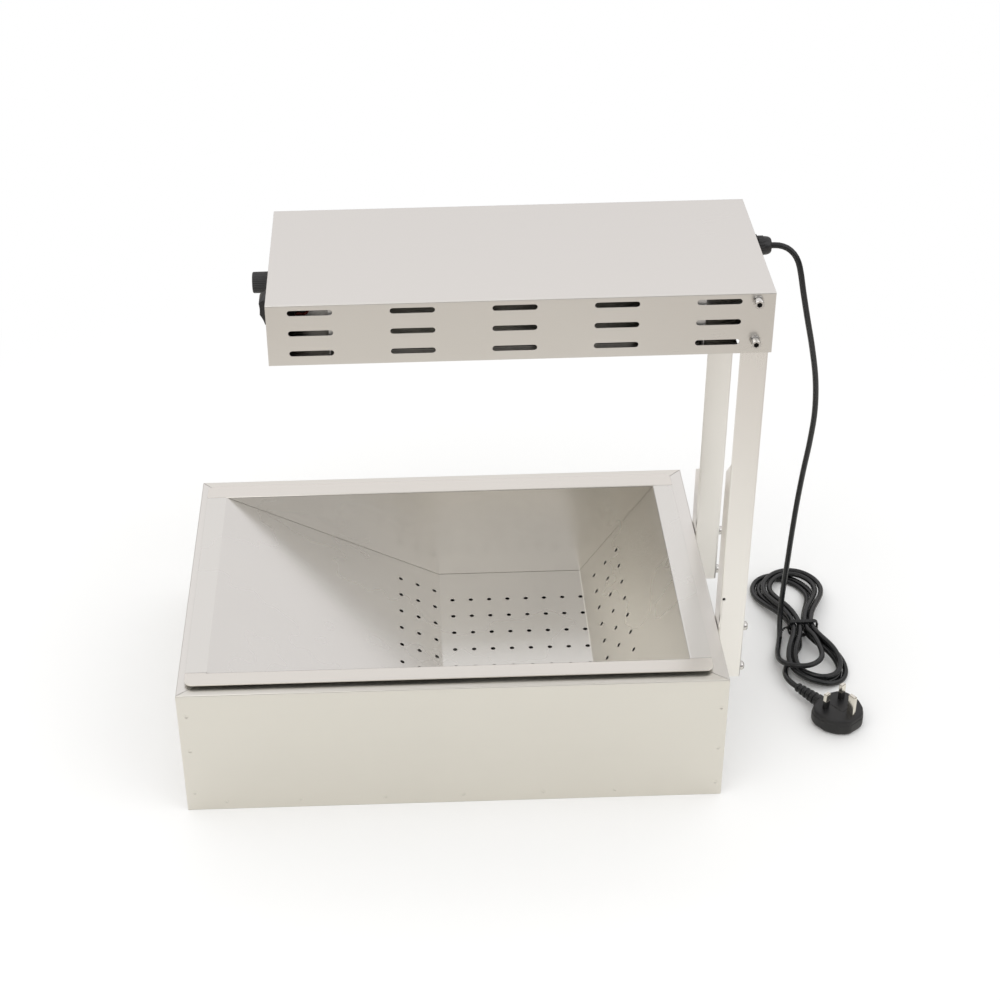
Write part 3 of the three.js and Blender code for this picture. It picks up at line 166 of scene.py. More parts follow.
GLAND = Vector((294.3, 25, 470.5)) * MM
DROP = [
    (301.5, 24.9, 470.2), (309, 23.9, 467.8), (315.2, 22.2, 462.6), (319.4, 20.3, 455.2), (321.9, 18.7, 446),
    (325.5, 17.5, 428), (332, 20, 400), (341, 26.5, 364), (349.5, 35.5, 324), (354, 44, 284), (354, 51, 246),
    (352, 57.5, 206), (350.6, 64, 164), (350, 70, 122), (349.8, 75, 86), (349.5, 79, 56), (349, 79.6, 37),
    (348, 75.8, 21), (346.7, 67.5, 9.6), (344.9, 55.5, 4.4), (341.4, 41.5, 4.1), (337.9, 27, 6.2),
    (336.5, 12.5, 9.9), (338.1, 3.9, 12.5), (342.8, -3.2, 14.8), (349.8, -7.9, 16.3), (358, -9.5, 17),
    (366.2, -7.9, 17.3), (373.2, -3.2, 17.4), (377.9, 3.8, 17.4), (379.5, 12.5, 17.3), (378.7, 26, 17.2),
    (376.3, 40, 17),
]
TAIL = [
    (363.2, 40.6, 3), (358.2, 31.4, 2.85), (352.4, 22.6, 2.85), (347, 13.6, 3), (342.9, 4.4, 4.2),
    (340.1, -4.8, 6.4), (339.2, -13.6, 8.2), (340.5, -21.3, 8.9),
]
RELIEF = Vector((347.5, -32.8, 9)) * MM
RELIEF_WAY = Vector((-0.6074, 0.7944, 0))
CORD_DIAMETER = 0.0055
# the stretches meet with a short straight piece on each side of a fine seam
SEAM = 0.0003
STRAIGHT = SEAM + CORD_DIAMETER
STEPS = 560
lead_in, tail_out = hank_point(END), hank_point(START)
lead_way = (lead_in - hank_point(END - NUDGE)).normalized()
tail_way = (tail_out - hank_point(START + NUDGE)).normalized()
drop_line = smooth([GLAND, *metres(DROP), lead_in + lead_way * STRAIGHT, lead_in + lead_way * SEAM])
hank_line = [hank_point(END + (START - END) * i / STEPS) for i in range(STEPS + 1)]
tail_line = smooth([
    tail_out + tail_way * SEAM, tail_out + tail_way * STRAIGHT, *metres(TAIL),
    RELIEF + RELIEF_WAY * STRAIGHT, RELIEF + RELIEF_WAY * SEAM,
])
route = drop_line + hank_line + tail_line
cord_length = sum((b - a).length for a, b in zip(route, route[1:]))
print("cord: %d points, %.3f m" % (len(route), cord_length))


# %% A round tube along points
def tube(name, points, diameter, sides=16):
    """A curve of one spline with round thickness."""
    curve = bpy.data.curves.new(name, "CURVE")
    curve.dimensions = "3D"
    curve.bevel_depth = 1
    curve.bevel_resolution = sides // 4
    curve.use_fill_caps = True
    spline = curve.splines.new("POLY")
    spline.points.add(len(points) - 1)
    for place, point in zip(spline.points, points):
        place.co = (*point, 1)
        place.radius = diameter / 2
    spline.use_smooth = True
    return link(name, curve)


supply_cord = tube("supply_cord", route, CORD_DIAMETER)
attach(supply_cord, "body")
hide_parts("cord_drop", "cord_hank", "cord_tail")

# %% [markdown]
# ## Materials
# Satin stainless sheet is a metal whose roughness, tone and surface follow very fine streaks along the
# rolling. The streaks come from noise that is stretched along the grain. A second, wide noise gives the faint
# clouds that handling leaves. An image would do this too, but noise has no seams and no limit of size. The
# effect is one node group, placed in each steel with its own colour, grain and roughness.

# %% Shader helpers
FLOAT, VECTOR, COLOUR = "NodeSocketFloat", "NodeSocketVector", "NodeSocketColor"
LOOK = (("Color", COLOUR), ("Roughness", FLOAT), ("Height", FLOAT))


def wire(tree, kind, links=(), **values):
    """A node with its properties set and its inputs linked or given a value."""
    made = tree.nodes.new(kind)
    for key, value in values.items():
        setattr(made, key, value)
    for socket, source in dict(links).items():
        if isinstance(source, bpy.types.NodeSocket):
            tree.links.new(source, made.inputs[socket])
        else:
            made.inputs[socket].default_value = source
    return made


def group(name, inputs):
    """An empty effect with named sockets, its inputs, and the place of its points."""
    made = bpy.data.node_groups.new(name, "ShaderNodeTree")
    for label, kind, value in inputs:
        socket = made.interface.new_socket(label, in_out="INPUT", socket_type=kind)
        socket.default_value = value
    for label, kind in LOOK:
        made.interface.new_socket(label, in_out="OUTPUT", socket_type=kind)
    given = made.nodes.new("NodeGroupInput").outputs
    return made, given, wire(made, "ShaderNodeTexCoord").outputs["Object"]


def give(tree, *sources):
    """The effect's colour, roughness and height go to its outputs."""
    out = tree.nodes.new("NodeGroupOutput")
    for (label, _), source in zip(LOOK, sources):
        tree.links.new(source, out.inputs[label])


def noise(tree, place, scale, detail, roughness=0.5):
    """Smooth noise at that scale, about 0.5 on average."""
    values = {"Vector": place, "Scale": scale, "Detail": detail, "Roughness": roughness}
    return wire(tree, "ShaderNodeTexNoise", values).outputs["Fac"]


def spread(tree, source, low, high, near=0.3, far=0.7, kind="LINEAR"):
    """The source's values from near to far, spread from low to high."""
    links = {0: source, 1: near, 2: far, 3: low, 4: high}
    return wire(tree, "ShaderNodeMapRange", links, interpolation_type=kind).outputs[0]


def combined(tree, operation, first, second, kind="ShaderNodeMath"):
    """The sum or the product of two values or vectors."""
    return wire(tree, kind, {0: first, 1: second}, operation=operation).outputs[0]


def mixed(tree, factor, first, second, blend="MIX"):
    """Two colours mixed, or multiplied."""
    links = {0: factor, 6: first, 7: second}
    return wire(tree, "ShaderNodeMix", links, data_type="RGBA", blend_type=blend).outputs[2]


# %% Brushed grain
grain, given, place = group("brushed grain", [
    ("Colour", COLOUR, (0.8, 0.8, 0.8, 1)), ("Along", VECTOR, (1, 0, 0)), ("Fineness", FLOAT, 1500),
    ("Base Roughness", FLOAT, 0.3), ("Depth", FLOAT, 0.5),
])
# along the grain the noise is drawn out a hundred times
STRETCH, VECTOR_MATH = (-0.99, -0.99, -0.99), "ShaderNodeVectorMath"
squeeze = combined(grain, "MULTIPLY", given["Along"], STRETCH, VECTOR_MATH)
widen = combined(grain, "ADD", squeeze, (1, 1, 1), VECTOR_MATH)
streak = noise(grain, combined(grain, "MULTIPLY", place, widen, VECTOR_MATH), given["Fineness"], 3, 0.6)
cloud = noise(grain, place, 7, 3, 0.55)
streak_rough = combined(grain, "MULTIPLY", spread(grain, streak, -0.012, 0.015), given["Depth"])
both = combined(grain, "ADD", streak_rough, spread(grain, cloud, -0.035, 0.035))
rough = combined(grain, "ADD", both, given["Base Roughness"])
tone = combined(grain, "MULTIPLY", spread(grain, streak, 0.996, 1.004), spread(grain, cloud, 0.985, 1.01))
give(grain, mixed(grain, 1.0, given["Colour"], tone, "MULTIPLY"), rough, streak)

# %% [markdown]
# Moulded plastic, sheath, ceramic and plated pins share a second group: a fine skin that breaks the
# highlight, and wide, faint changes of tone.

# %% Moulded skin
skin, given, place = group("moulded skin", [
    ("Colour", COLOUR, (0.02, 0.02, 0.02, 1)), ("Grain", FLOAT, 1800), ("Base Roughness", FLOAT, 0.45),
])
fine, wide = noise(skin, place, given["Grain"], 3), noise(skin, place, 60, 2)
toned = mixed(skin, 1.0, given["Colour"], spread(skin, wide, 0.86, 1.16), "MULTIPLY")
give(skin, toned, combined(skin, "ADD", spread(skin, fine, -0.05, 0.05), given["Base Roughness"]), fine)


# %% Materials from the two effects
RELIEF_HEIGHT = 0.0002


def surface(name, effect, bump, metallic, values):
    """A material whose colour, roughness and fine relief come from one effect."""
    made = bpy.data.materials.new(name)
    made.use_nodes = True
    tree = made.node_tree
    look = wire(tree, "ShaderNodeGroup", values, node_tree=effect).outputs
    links = {"Strength": bump, "Distance": RELIEF_HEIGHT, "Height": look["Height"]}
    relief = wire(tree, "ShaderNodeBump", links)
    shader = tree.nodes["Principled BSDF"].inputs
    tree.links.new(look["Color"], shader["Base Color"])
    tree.links.new(look["Roughness"], shader["Roughness"])
    tree.links.new(relief.outputs[0], shader["Normal"])
    shader["Metallic"].default_value = metallic
    return made


def steel(name, along, colour=(0.83, 0.815, 0.78), roughness=0.3, fineness=1500, bump=0.002, depth=0.5):
    """Brushed steel with its grain along the given axis."""
    return surface(name, grain, bump, 1, {"Colour": (*colour, 1), "Along": along, "Fineness": fineness,
                                          "Base Roughness": roughness, "Depth": depth})


def moulded(name, colour, roughness=0.45, grain_size=1800, bump=0.08, metallic=0):
    """A moulded, sheathed or plated surface."""
    return surface(name, skin, bump, metallic, {"Colour": (*colour, 1), "Grain": grain_size,
                                                "Base Roughness": roughness})


# %% The finishes
X, Y, Z = (1, 0, 0), (0, 1, 0), (0, 0, 1)
steel_x = steel("steel brushed along x", X)
steel_y = steel("steel brushed along y", Y)
steel_z = steel("steel brushed upright", Z, (0.965, 0.95, 0.92))
warm_steel = steel("steel of the base", X, (0.83, 0.81, 0.757), 0.32)
pan_steel = steel("steel of the pan", Y, (0.805, 0.795, 0.76), 0.28, bump=0, depth=0)
pan_wall_steel = steel("steel of the pan's end walls", X, (0.815, 0.79, 0.74), 0.22, bump=0, depth=0)
dull_steel = steel("dull steel", Z, (0.74, 0.74, 0.73), 0.55)
bright_steel = steel("bright steel", Z, (0.74, 0.73, 0.71), 0.14, 600)
black_plastic = moulded("black plastic", (0.009, 0.009, 0.0095), 0.42, bump=0.05)
# near black, for the cover screws' sockets and a disc behind the front post's small hole: painted shade in
# those hollows
painted_shade = moulded("dark recess", (0.012, 0.011, 0.01), 0.8)
black_satin = moulded("black satin plastic", (0.016, 0.016, 0.017), 0.33, 900, 0.03)
sheath = moulded("cord sheath", (0.008, 0.009, 0.010), 0.24, 900, 0.02)
pin_metal = moulded("pin metal", (0.80, 0.77, 0.70), 0.18, 400, 0.02, metallic=1)
ceramic = moulded("ceramic", (0.78, 0.74, 0.66), 0.6, 700)
quartz = moulded("milky quartz", (0.72, 0.70, 0.66), 0.25, 200)
red_wire = moulded("red wire", (0.24, 0.03, 0.015), 0.5)
blue_wire = moulded("blue wire", (0.02, 0.06, 0.2), 0.5)
print("materials:", len(bpy.data.materials))

# %% [markdown]
# ## Making sheet metal
# Most of the warmer is 1 mm sheet, folded. A block with sharp edges would catch no light where the real folds
# do. So each sheet is drawn as its outer surface: flat faces with their punched holes, joined by narrow
# rounded bends. A Solidify modifier gives it the gauge, a small Bevel breaks the cut edges, and weighted
# normals keep the flats flat. Booleans would leave ragged meshes around so many holes.

# %% The sheet maker
UP, DOWN, FRONT, REAR = Z, (0, 0, -1), (0, -1, 0), Y


def turn_out(faces, outward):
    """Faces turned over, all or none, so that the first looks along outward."""
    faces[0].normal_update()
    if faces[0].normal.dot(Vector(outward)) < 0:
        for each in faces:
            each.normal_flip()


class Sheet:
    """A folded sheet's outer surface, drawn in millimetres."""

    def __init__(self):
        self.mesh = bmesh.new()

    def row(self, points):
        return [self.mesh.verts.new(p) for p in metres(points)]

    def face(self, outline, holes, outward):
        """A flat face with holes; outline and holes are loops of points in space."""
        edges = []
        for corners in map(self.row, [outline, *holes]):
            edges += [self.mesh.edges.new(pair) for pair in zip(corners, corners[1:] + corners[:1])]
        filled = bmesh.ops.triangle_fill(self.mesh, edges=edges, use_beauty=True, normal=Vector(outward))
        for each in filled["geom"]:
            if isinstance(each, bmesh.types.BMFace):
                turn_out([each], outward)

    def strip(self, rows, outward):
        """Faces between rows of points; outward is where the first face looks."""
        made = [self.row(points) for points in rows]
        turn_out([
            self.mesh.faces.new((low[i], low[i + 1], high[i + 1], high[i]))
            for low, high in zip(made, made[1:]) for i in range(len(low) - 1)
        ], outward)

    def fold(self, profile, lay, ends, holes=(), radius=1.4, side=1, steps=5):
        """A profile of two or more flats pushed along a straight line, with rounded bends between them.

        lay(p, q, s) is the place in space of the profile's point and the distance along; ends(p, q) is
        where the sheet starts and stops there; holes maps a flat's number to loops of (distance up it, s).
        """
        corners = [Vector(p) for p in profile]
        ways = [(b - a).normalized() for a, b in zip(corners, corners[1:])]
        back = [radius * tan(before.angle(after) / 2) for before, after in zip(ways, ways[1:])]
        back = [0, *back, 0]
        origin = Vector(lay(0, 0, 0))

        def outward(way):
            return Vector(lay(-side * way.y, side * way.x, 0)) - origin

        for i, way in enumerate(ways):
            start, stop = corners[i] + way * back[i], corners[i + 1] - way * back[i + 1]
            (s0, s1), (s2, s3) = ends(*start), ends(*stop)
            outline = [lay(*start, s0), lay(*start, s1), lay(*stop, s3), lay(*stop, s2)]
            rings = [[lay(*(corners[i] + way * d), s) for d, s in ring] for ring in dict(holes).get(i, ())]
            self.face(outline, rings, outward(way))
        for i in range(1, len(ways)):
            before, after = ways[i - 1], ways[i]
            start, stop = corners[i] - before * back[i], corners[i] + after * back[i]
            rows = []
            for share in (step / steps for step in range(steps + 1)):
                # a quadratic through the two tangent points is close to the arc at these small radii
                at = start.lerp(corners[i], share).lerp(corners[i].lerp(stop, share), share)
                rows.append([lay(*at, s) for s in ends(*at)])
            self.strip(rows, outward(before.lerp(after, 1 / (2 * steps))))

    def finish(self, name, gauge, bevel=0.16):
        """The sheet as an object, with its gauge, its broken edges and even shading."""
        bmesh.ops.remove_doubles(self.mesh, verts=self.mesh.verts[:], dist=1e-6)
        made = formed(name, self.mesh)
        made.data.polygons.foreach_set("use_smooth", [True] * len(made.data.polygons))
        thick = made.modifiers.new("gauge", "SOLIDIFY")
        thick.thickness, thick.offset, thick.use_even_offset = gauge * MM, -1, True
        edge = made.modifiers.new("broken edges", "BEVEL")
        edge.width, edge.segments, edge.limit_method = bevel * MM, 2, "ANGLE"
        edge.angle_limit, edge.use_clamp_overlap = radians(34), False
        even = made.modifiers.new("even shading", "WEIGHTED_NORMAL")
        even.mode, even.weight = "FACE_AREA", 80
        return made


def piece(made, finish, *replaced, body="body"):
    """An object with its material, riding on its body in the place of its CAD nodes."""
    made.data.materials.append(finish)
    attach(made, body)
    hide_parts(*replaced)
    return made


# %% Outlines
def disc(a, b, radius, count=24):
    turns = [2 * pi * i / count for i in range(count)]
    return [(a + radius * cos(t), b + radius * sin(t)) for t in turns]


def slot_hole(a, b, length, width, count=10):
    """A slot with round ends; its length runs along the second value."""
    reach, radius = (length - width) / 2, width / 2
    arc = [pi * i / count for i in range(count + 1)]
    far = [(a + radius * cos(t), b + reach + radius * sin(t)) for t in arc]
    near = [(a - radius * cos(t), b - reach - radius * sin(t)) for t in arc]
    return far + near


def oblong(a0, a1, b0, b1):
    return [(a0, b0), (a1, b0), (a1, b1), (a0, b1)]


def window(x, y, width, length, radius=2.5, count=4):
    """A rectangle with rounded corners."""
    points = []
    for quarter, (way_x, way_y) in enumerate(((1, 1), (-1, 1), (-1, -1), (1, -1))):
        for i in range(count + 1):
            turn = radians(90 * quarter + 90 * i / count)
            points.append((x + way_x * (width / 2 - radius) + radius * cos(turn),
                           y + way_y * (length / 2 - radius) + radius * sin(turn)))
    return points


def bend(radius, count=5):
    """A quarter turn: how far each point stays back from the first face, and from the second."""
    turns = [radians(90 * i / count) for i in range(count + 1)]
    return [(radius * (1 - sin(t)), radius * (1 - cos(t))) for t in turns]


def flat(axis, value, outline):
    """An outline of pairs on the plane where that axis, 0 to 2, has that value."""
    return [(*spot[:axis], value, *spot[axis:]) for spot in outline]


# %% [markdown]
# ## The base
# Four folded panels make the box. They turn in at the top and down again round the opening; their tops meet
# in mitres, with a fine gap at each corner, as on the real one. Round marks on the front are spot welds that
# hold the floor tray and the side panels' tabs, so they are pressed in a little.

# %% The base's measures
BASE_X, BASE_Y, BASE_TOP = 250, 175, 137
SHEET, TOUCH, LIP = 1, 0.3, 12
# a tab or a flange starts just behind the sheet it belongs to
BEHIND = SHEET * 1.02
corner = {name: [[v / MM for v in end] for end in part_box(name)] for name in nodes}
SEAT_X = (corner["base_left_panel"][1][0], corner["base_right_panel"][0][0])
SEAT_Y = (corner["base_front_panel"][1][1], corner["base_rear_panel"][0][1])
print("the opening in the base's top: %.1f x %.1f mm" % (SEAT_X[1] - SEAT_X[0], SEAT_Y[1] - SEAT_Y[0]))


def base_panel(face, seat, lay, ends, holes, side):
    """The wall, the top and the lip of one of the box's four sides."""
    sheet = Sheet()
    profile = [(face, 0), (face, BASE_TOP), (seat, BASE_TOP), (seat, BASE_TOP - LIP)]
    sheet.fold(profile, lay, ends, {0: holes}, side=side)
    return sheet


# %% The long panels
WELD, WELD_SIDES, WELD_DEPTH = 2.4, 16, 0.55
WELD_ROW, WELD_ROW_Z = (-213, -144, -65, 8, 83, 150), 9.5
WELD_EDGES = ((-242, (113, 72, 21)), (244, (105, 57, 15)))
welds = [(x, WELD_ROW_Z) for x in WELD_ROW] + [(x, z) for x, heights in WELD_EDGES for z in heights]


def dimple(sheet, centre, outward):
    """A spot weld's mark in a face that has a hole of that radius there."""
    rows = []
    for share, sunk in ((1, 0), (0.82, 0.35), (0.6, 0.85), (0.35, 1)):
        middle = Vector(centre) - Vector(outward) * WELD_DEPTH * sunk
        rows.append([middle + Vector(Z) * a + Vector(X) * b for a, b in disc(0, 0, WELD * share, WELD_SIDES)])
    sheet.strip([row + row[:1] for row in rows], outward)
    sheet.face(rows[-1], [], outward)


def long_panel(name, face, seat, side):
    def ends(p, q):
        share = (p - face) / (seat - face)
        inset = TOUCH if share > 0.9 and q < BASE_TOP - SHEET * 2 else 0
        return (-BASE_X + share * (SEAT_X[0] + BASE_X) + inset, BASE_X - share * (BASE_X - SEAT_X[1]) - inset)

    marks = [disc(z, x, WELD, WELD_SIDES) for x, z in welds]
    sheet = base_panel(face, seat, lambda p, q, s: (s, p, q), ends, marks, side)
    for x, z in welds:
        dimple(sheet, (x, face, z), (0, -side, 0))
    piece(sheet.finish("box_" + name, SHEET), warm_steel, "base_%s_panel" % name)


long_panel("front", -BASE_Y, SEAT_Y[0], 1)
long_panel("rear", BASE_Y, SEAT_Y[1], -1)

# %% The side panels
TAB, TAB_Z, MITRE_GAP = 14, (16, 122), 0.6
POST_SCREW_Y, POST_SCREW_Z, POST_SCREW_BACK, POST_SCREW_HOLE = (-87.2, 70.7), (83, 130.5), 12, 2.8


def side_panel(name, side, seat, holes=()):
    face, end = side * BASE_X, BASE_Y - SHEET - TOUCH

    def ends(p, q):
        share = (p - face) / (seat - face)
        front = max(-end, -BASE_Y + MITRE_GAP + share * (SEAT_Y[0] + BASE_Y))
        rear = min(end, BASE_Y - MITRE_GAP - share * (BASE_Y - SEAT_Y[1]))
        return front, rear

    sheet = base_panel(face, seat, lambda p, q, s: (p, s, q), ends, holes, -side)
    tab = oblong(face - side * BEHIND, face - side * (SHEET + TAB), *TAB_Z)
    for y, way in ((-end, FRONT), (end, REAR)):
        sheet.face(flat(1, y, tab), [], way)
    piece(sheet.finish("box_" + name, SHEET), steel_y, "base_%s_panel" % name)


side_panel("left", -1, SEAT_X[0])
screw_holes = [disc(z, y, POST_SCREW_HOLE, 20) for y in POST_SCREW_Y for z in POST_SCREW_Z]
side_panel("right", 1, SEAT_X[1], screw_holes)

# %% [markdown]
# ## The pan
# The lift-out pan is one trough, folded four times from rim to rim, and two end walls with their strips of
# rim. Its slopes and floor are punched with 4.5 mm holes.

# %% The trough
RIM_TOP, PAN_X, PAN_Y = 141, (-243, 237), (-165, 161)
HOPPER_X, HOPPER_Y = (-223.5, 217.5), (-147, 140)
FLOOR_X, FLOOR_TOP = (-6.0, 143.98), 35.5
HOLE, ROW_PITCH, ROW_MIDDLE = 2.25, 27.7, -3.5
FLOOR_MARGIN, FLOOR_PITCH = 0.0867, 0.1273


def punched(columns, rows):
    """Holes in every row at the columns' distances up a flat."""
    lines = [ROW_MIDDLE + (i - (rows - 1) / 2) * ROW_PITCH for i in range(rows)]
    return [disc(d, y, HOLE) for y in lines for d in columns]


slope_length = hypot(FLOOR_X[0] - HOPPER_X[0], RIM_TOP - FLOOR_TOP)
floor_width = FLOOR_X[1] - FLOOR_X[0]
holes = {
    1: punched([slope_length - up_slope for up_slope in (6.1, 25.3, 44.5)], 9),
    2: punched([floor_width * (FLOOR_MARGIN + i * FLOOR_PITCH) for i in range(8)], 8),
    3: punched((20.3, 39.5, 58.7), 9),
}
trough = Sheet()
trough.fold(
    [(PAN_X[0], RIM_TOP), (HOPPER_X[0], RIM_TOP), (FLOOR_X[0], FLOOR_TOP), (FLOOR_X[1], FLOOR_TOP),
     (HOPPER_X[1], RIM_TOP), (PAN_X[1], RIM_TOP)],
    lambda p, q, s: (p, s, q), lambda p, q: (HOPPER_Y[0] + TOUCH, HOPPER_Y[1] - TOUCH), holes, radius=2.2,
)
piece(trough.finish("pan_trough", SHEET), pan_steel,
      "pan_left_slope", "pan_floor_plate", "pan_right_slope", body="pan")
print("holes in the pan:", sum(map(len, holes.values())))

# %% The end walls
WALL_BEND, RIM_CORNER, WALL_FOOT, WALL_RIGHT_TOP = 1.4, 8, 34.4, 139.25


def end_wall(name, edge, rim, toward, node):
    """The wall's hopper side is at edge; the rim strip runs out to rim."""
    sheet, (left, right), inner = Sheet(), HOPPER_X, edge + toward * WALL_BEND
    soft = [(a, rim - toward * b) for a, b in bend(RIM_CORNER, 8)]
    outline = [
        (PAN_X[0], edge), *((PAN_X[0] + a, y) for a, y in soft[::-1]), *((PAN_X[1] - a, y) for a, y in soft),
        (PAN_X[1], edge), (right, edge), (right, inner), (left, inner), (left, edge),
    ]
    sheet.face(flat(2, RIM_TOP, outline), [], UP)
    rows = [[(x, edge + toward * a, RIM_TOP - b) for x in HOPPER_X] for a, b in bend(WALL_BEND)]
    sheet.strip(rows, UP)
    top = RIM_TOP - WALL_BEND
    foot = [(x, WALL_FOOT) for x in FLOOR_X]
    wall = [(left, top), *foot, (right, WALL_RIGHT_TOP), (right, top)]
    sheet.face(flat(1, edge, wall), [], (0, -toward, 0))
    piece(sheet.finish(name, SHEET), pan_wall_steel, node, body="pan")


end_wall("pan_front_end", HOPPER_Y[0], PAN_Y[0], -1, "pan_front_wall")
end_wall("pan_rear_end", HOPPER_Y[1], PAN_Y[1], 1, "pan_rear_wall")

# %% [markdown]
# ## The posts
# Each post is a channel whose web faces forward. Its right flange runs the full height. Its left flange stops
# above the pan, where the real one is cut back at a slant.

# %% The posts
POST_X, POST_DEPTH, POST_GAUGE, POST_Z, POST_BEND = (250.3, 274.3), 22.5, 1.5, (79, 487), 2
HOOD_SCREWS, HOOD_SCREW_HOLE = [(261.5, 482.5), (261.5, 444.5)], 2.65
# the small hole, and the size and setback of the painted-shade disc behind it
SMALL_HOLE, SMALL_SIZE, SHADE_DISC_SIZE, SHADE_DISC_BACK = (253.3, 171), 1.5, 1.46, 0.5


def post(which, front, short_top, slant, holes, painted_shade_disc=False):
    """A post; its small hole may have a dark disc just behind the web's face, painted shade in the hole."""
    sheet, radius = Sheet(), POST_BEND
    (x0, x1), (foot, top), rear = POST_X, POST_Z, front + POST_DEPTH
    web = [(x0 + radius, foot), (x0 + radius, short_top), (x0, short_top), (x0, top), (x1 - radius, top),
           (x1 - radius, foot)]
    sheet.face(flat(1, front, web), [flat(1, front, disc(*at, size, 20)) for at, size in holes], FRONT)
    screws = [disc(front + POST_SCREW_BACK, z, POST_SCREW_HOLE, 20) for z in POST_SCREW_Z]
    flange = oblong(front + radius, rear, foot, top)
    short = [*flange[:2], (rear, short_top - slant), (front + radius, short_top)]
    for x, way, outline, height in ((x1, 1, flange, top), (x0, -1, short, short_top)):
        sheet.face(flat(0, x, outline), [flat(0, x, ring) for ring in screws], (way, 0, 0))
        sheet.strip([[(x - way * a, front + b, z) for z in (foot, height)] for a, b in bend(radius)], FRONT)
    # a dark disc a little behind the small hole: painted shade where light from inside the channel would show
    if painted_shade_disc:
        sheet.face(flat(1, front + SHADE_DISC_BACK, disc(*SMALL_HOLE, SHADE_DISC_SIZE, 20)), [], FRONT)
    made = piece(sheet.finish(which + "_upright", POST_GAUGE, 0.25), steel_z, which + "_post")
    # a second, near-black finish for that disc: painted shade
    made.data.materials.append(painted_shade)
    for face in made.data.polygons:
        off = dist((face.center.x / MM, face.center.z / MM), SMALL_HOLE)
        if painted_shade_disc and off < SHADE_DISC_SIZE:
            face.material_index = 1


front_holes = [(at, HOOD_SCREW_HOLE) for at in HOOD_SCREWS] + [(SMALL_HOLE, SMALL_SIZE)]
post("front", -99.2, 318, 20.5, front_holes, painted_shade_disc=True)
post("rear", 58.7, 212, 14, [])

# %% [markdown]
# ## The hood
# The cover is one sheet folded over the top. Its front and rear are slotted in three rows of five. Two end
# panels close it, and a plate, a guard and a reflector under it make the heater's box.

# %% The cover
HOOD_X, HOOD_Y, HOOD_Z = (-150, 276.5), (-100.5, 82.5), (432.5, 489.5)
INNER_Y, INNER_TOP = (-99.2, 81.2), 488.2
SLOT_SIZE, COVER_SCREW_HOLE = (37.7, 5), 2.9
slots = [(z, -113.1 + 85.7 * i) for z in (482.1, 462.9, 443.7) for i in range(5)]
front_holes = [slot_hole(z - HOOD_Z[0], x, *SLOT_SIZE) for z, x in slots]
front_holes += [disc(z - HOOD_Z[0], x, COVER_SCREW_HOLE) for x, z in HOOD_SCREWS]
rear_holes = [slot_hole(HOOD_Z[1] - z, x, *SLOT_SIZE) for z, x in slots]
cover = Sheet()
cover.fold(
    [(HOOD_Y[0], HOOD_Z[0]), (HOOD_Y[0], HOOD_Z[1]), (HOOD_Y[1], HOOD_Z[1]), (HOOD_Y[1], HOOD_Z[0])],
    lambda p, q, s: (s, p, q), lambda p, q: HOOD_X, {0: front_holes, 2: rear_holes}, radius=1.2,
)
piece(cover.finish("hood_shell", SHEET), steel_x, "hood_cover")
print("slots in the hood:", 2 * len(slots))

# %% The end panels
KNOB, ROCKER, GLAND_AT = (6, 457), (-45, 458.5), (25, 470.5)
END_FLANGE, END_TAB_Z = 12, (442, 486)


def end_panel(which, face, side, holes, flange_y, tabs=()):
    sheet, inner = Sheet(), face - side * END_FLANGE
    sheet.fold([(face, HOOD_Z[0]), (face, INNER_TOP), (inner, INNER_TOP)], lambda p, q, s: (p, s, q),
               lambda p, q: INNER_Y if p == face else flange_y,
               {0: [[(z - HOOD_Z[0], y) for y, z in ring] for ring in holes]}, radius=1, side=-side)
    for y, way in tabs:
        sheet.face(flat(1, y, oblong(face - side * BEHIND, inner, *END_TAB_Z)), [], way)
    piece(sheet.finish("hood_%s_end" % which, SHEET), steel_y, "hood_%s_end_panel" % which)


rocker_hole = oblong(ROCKER[0] - 11.3, ROCKER[0] + 11.3, ROCKER[1] - 14.8, ROCKER[1] + 14.8)
end_panel("left", HOOD_X[0], -1, [disc(*KNOB, 5.05), rocker_hole], INNER_Y, zip(INNER_Y, (FRONT, REAR)))
end_panel("right", HOOD_X[1], 1, [disc(*GLAND_AT, 6.3)], (-74.7, 56.7))

# %% The bottom plate, notched for the posts
HEATER_X, HEATER_Y, OPENING_IN = (-96, 217), (-80, 62), 10
PLATE_X, PLATE_Z, PLATE_EDGE, PLATE_BEND = (-148.7, 275.2), 433, 440, 1.2
NOTCH_X, NOTCH_Y = 249.7, (-76.1, 58.1)
front, rear = INNER_Y[0] + PLATE_BEND, INNER_Y[1] - PLATE_BEND
outline = [
    (PLATE_X[0], front), (NOTCH_X, front), (NOTCH_X, NOTCH_Y[0]), (PLATE_X[1], NOTCH_Y[0]),
    (PLATE_X[1], NOTCH_Y[1]), (NOTCH_X, NOTCH_Y[1]), (NOTCH_X, rear), (PLATE_X[0], rear),
]
opening = oblong(HEATER_X[0] + OPENING_IN, HEATER_X[1] - OPENING_IN,
                 HEATER_Y[0] + OPENING_IN, HEATER_Y[1] - OPENING_IN)
plate = Sheet()
plate.face(flat(2, PLATE_Z, outline), [flat(2, PLATE_Z, opening)], DOWN)
for y, way in zip(INNER_Y, (-1, 1)):
    spots = [(y - way * a, PLATE_Z + b) for a, b in bend(PLATE_BEND)] + [(y, PLATE_EDGE)]
    plate.strip([[(x, *spot) for x in (PLATE_X[0], NOTCH_X)] for spot in spots], DOWN)
piece(plate.finish("hood_floor", SHEET), steel_x, "hood_bottom_plate")

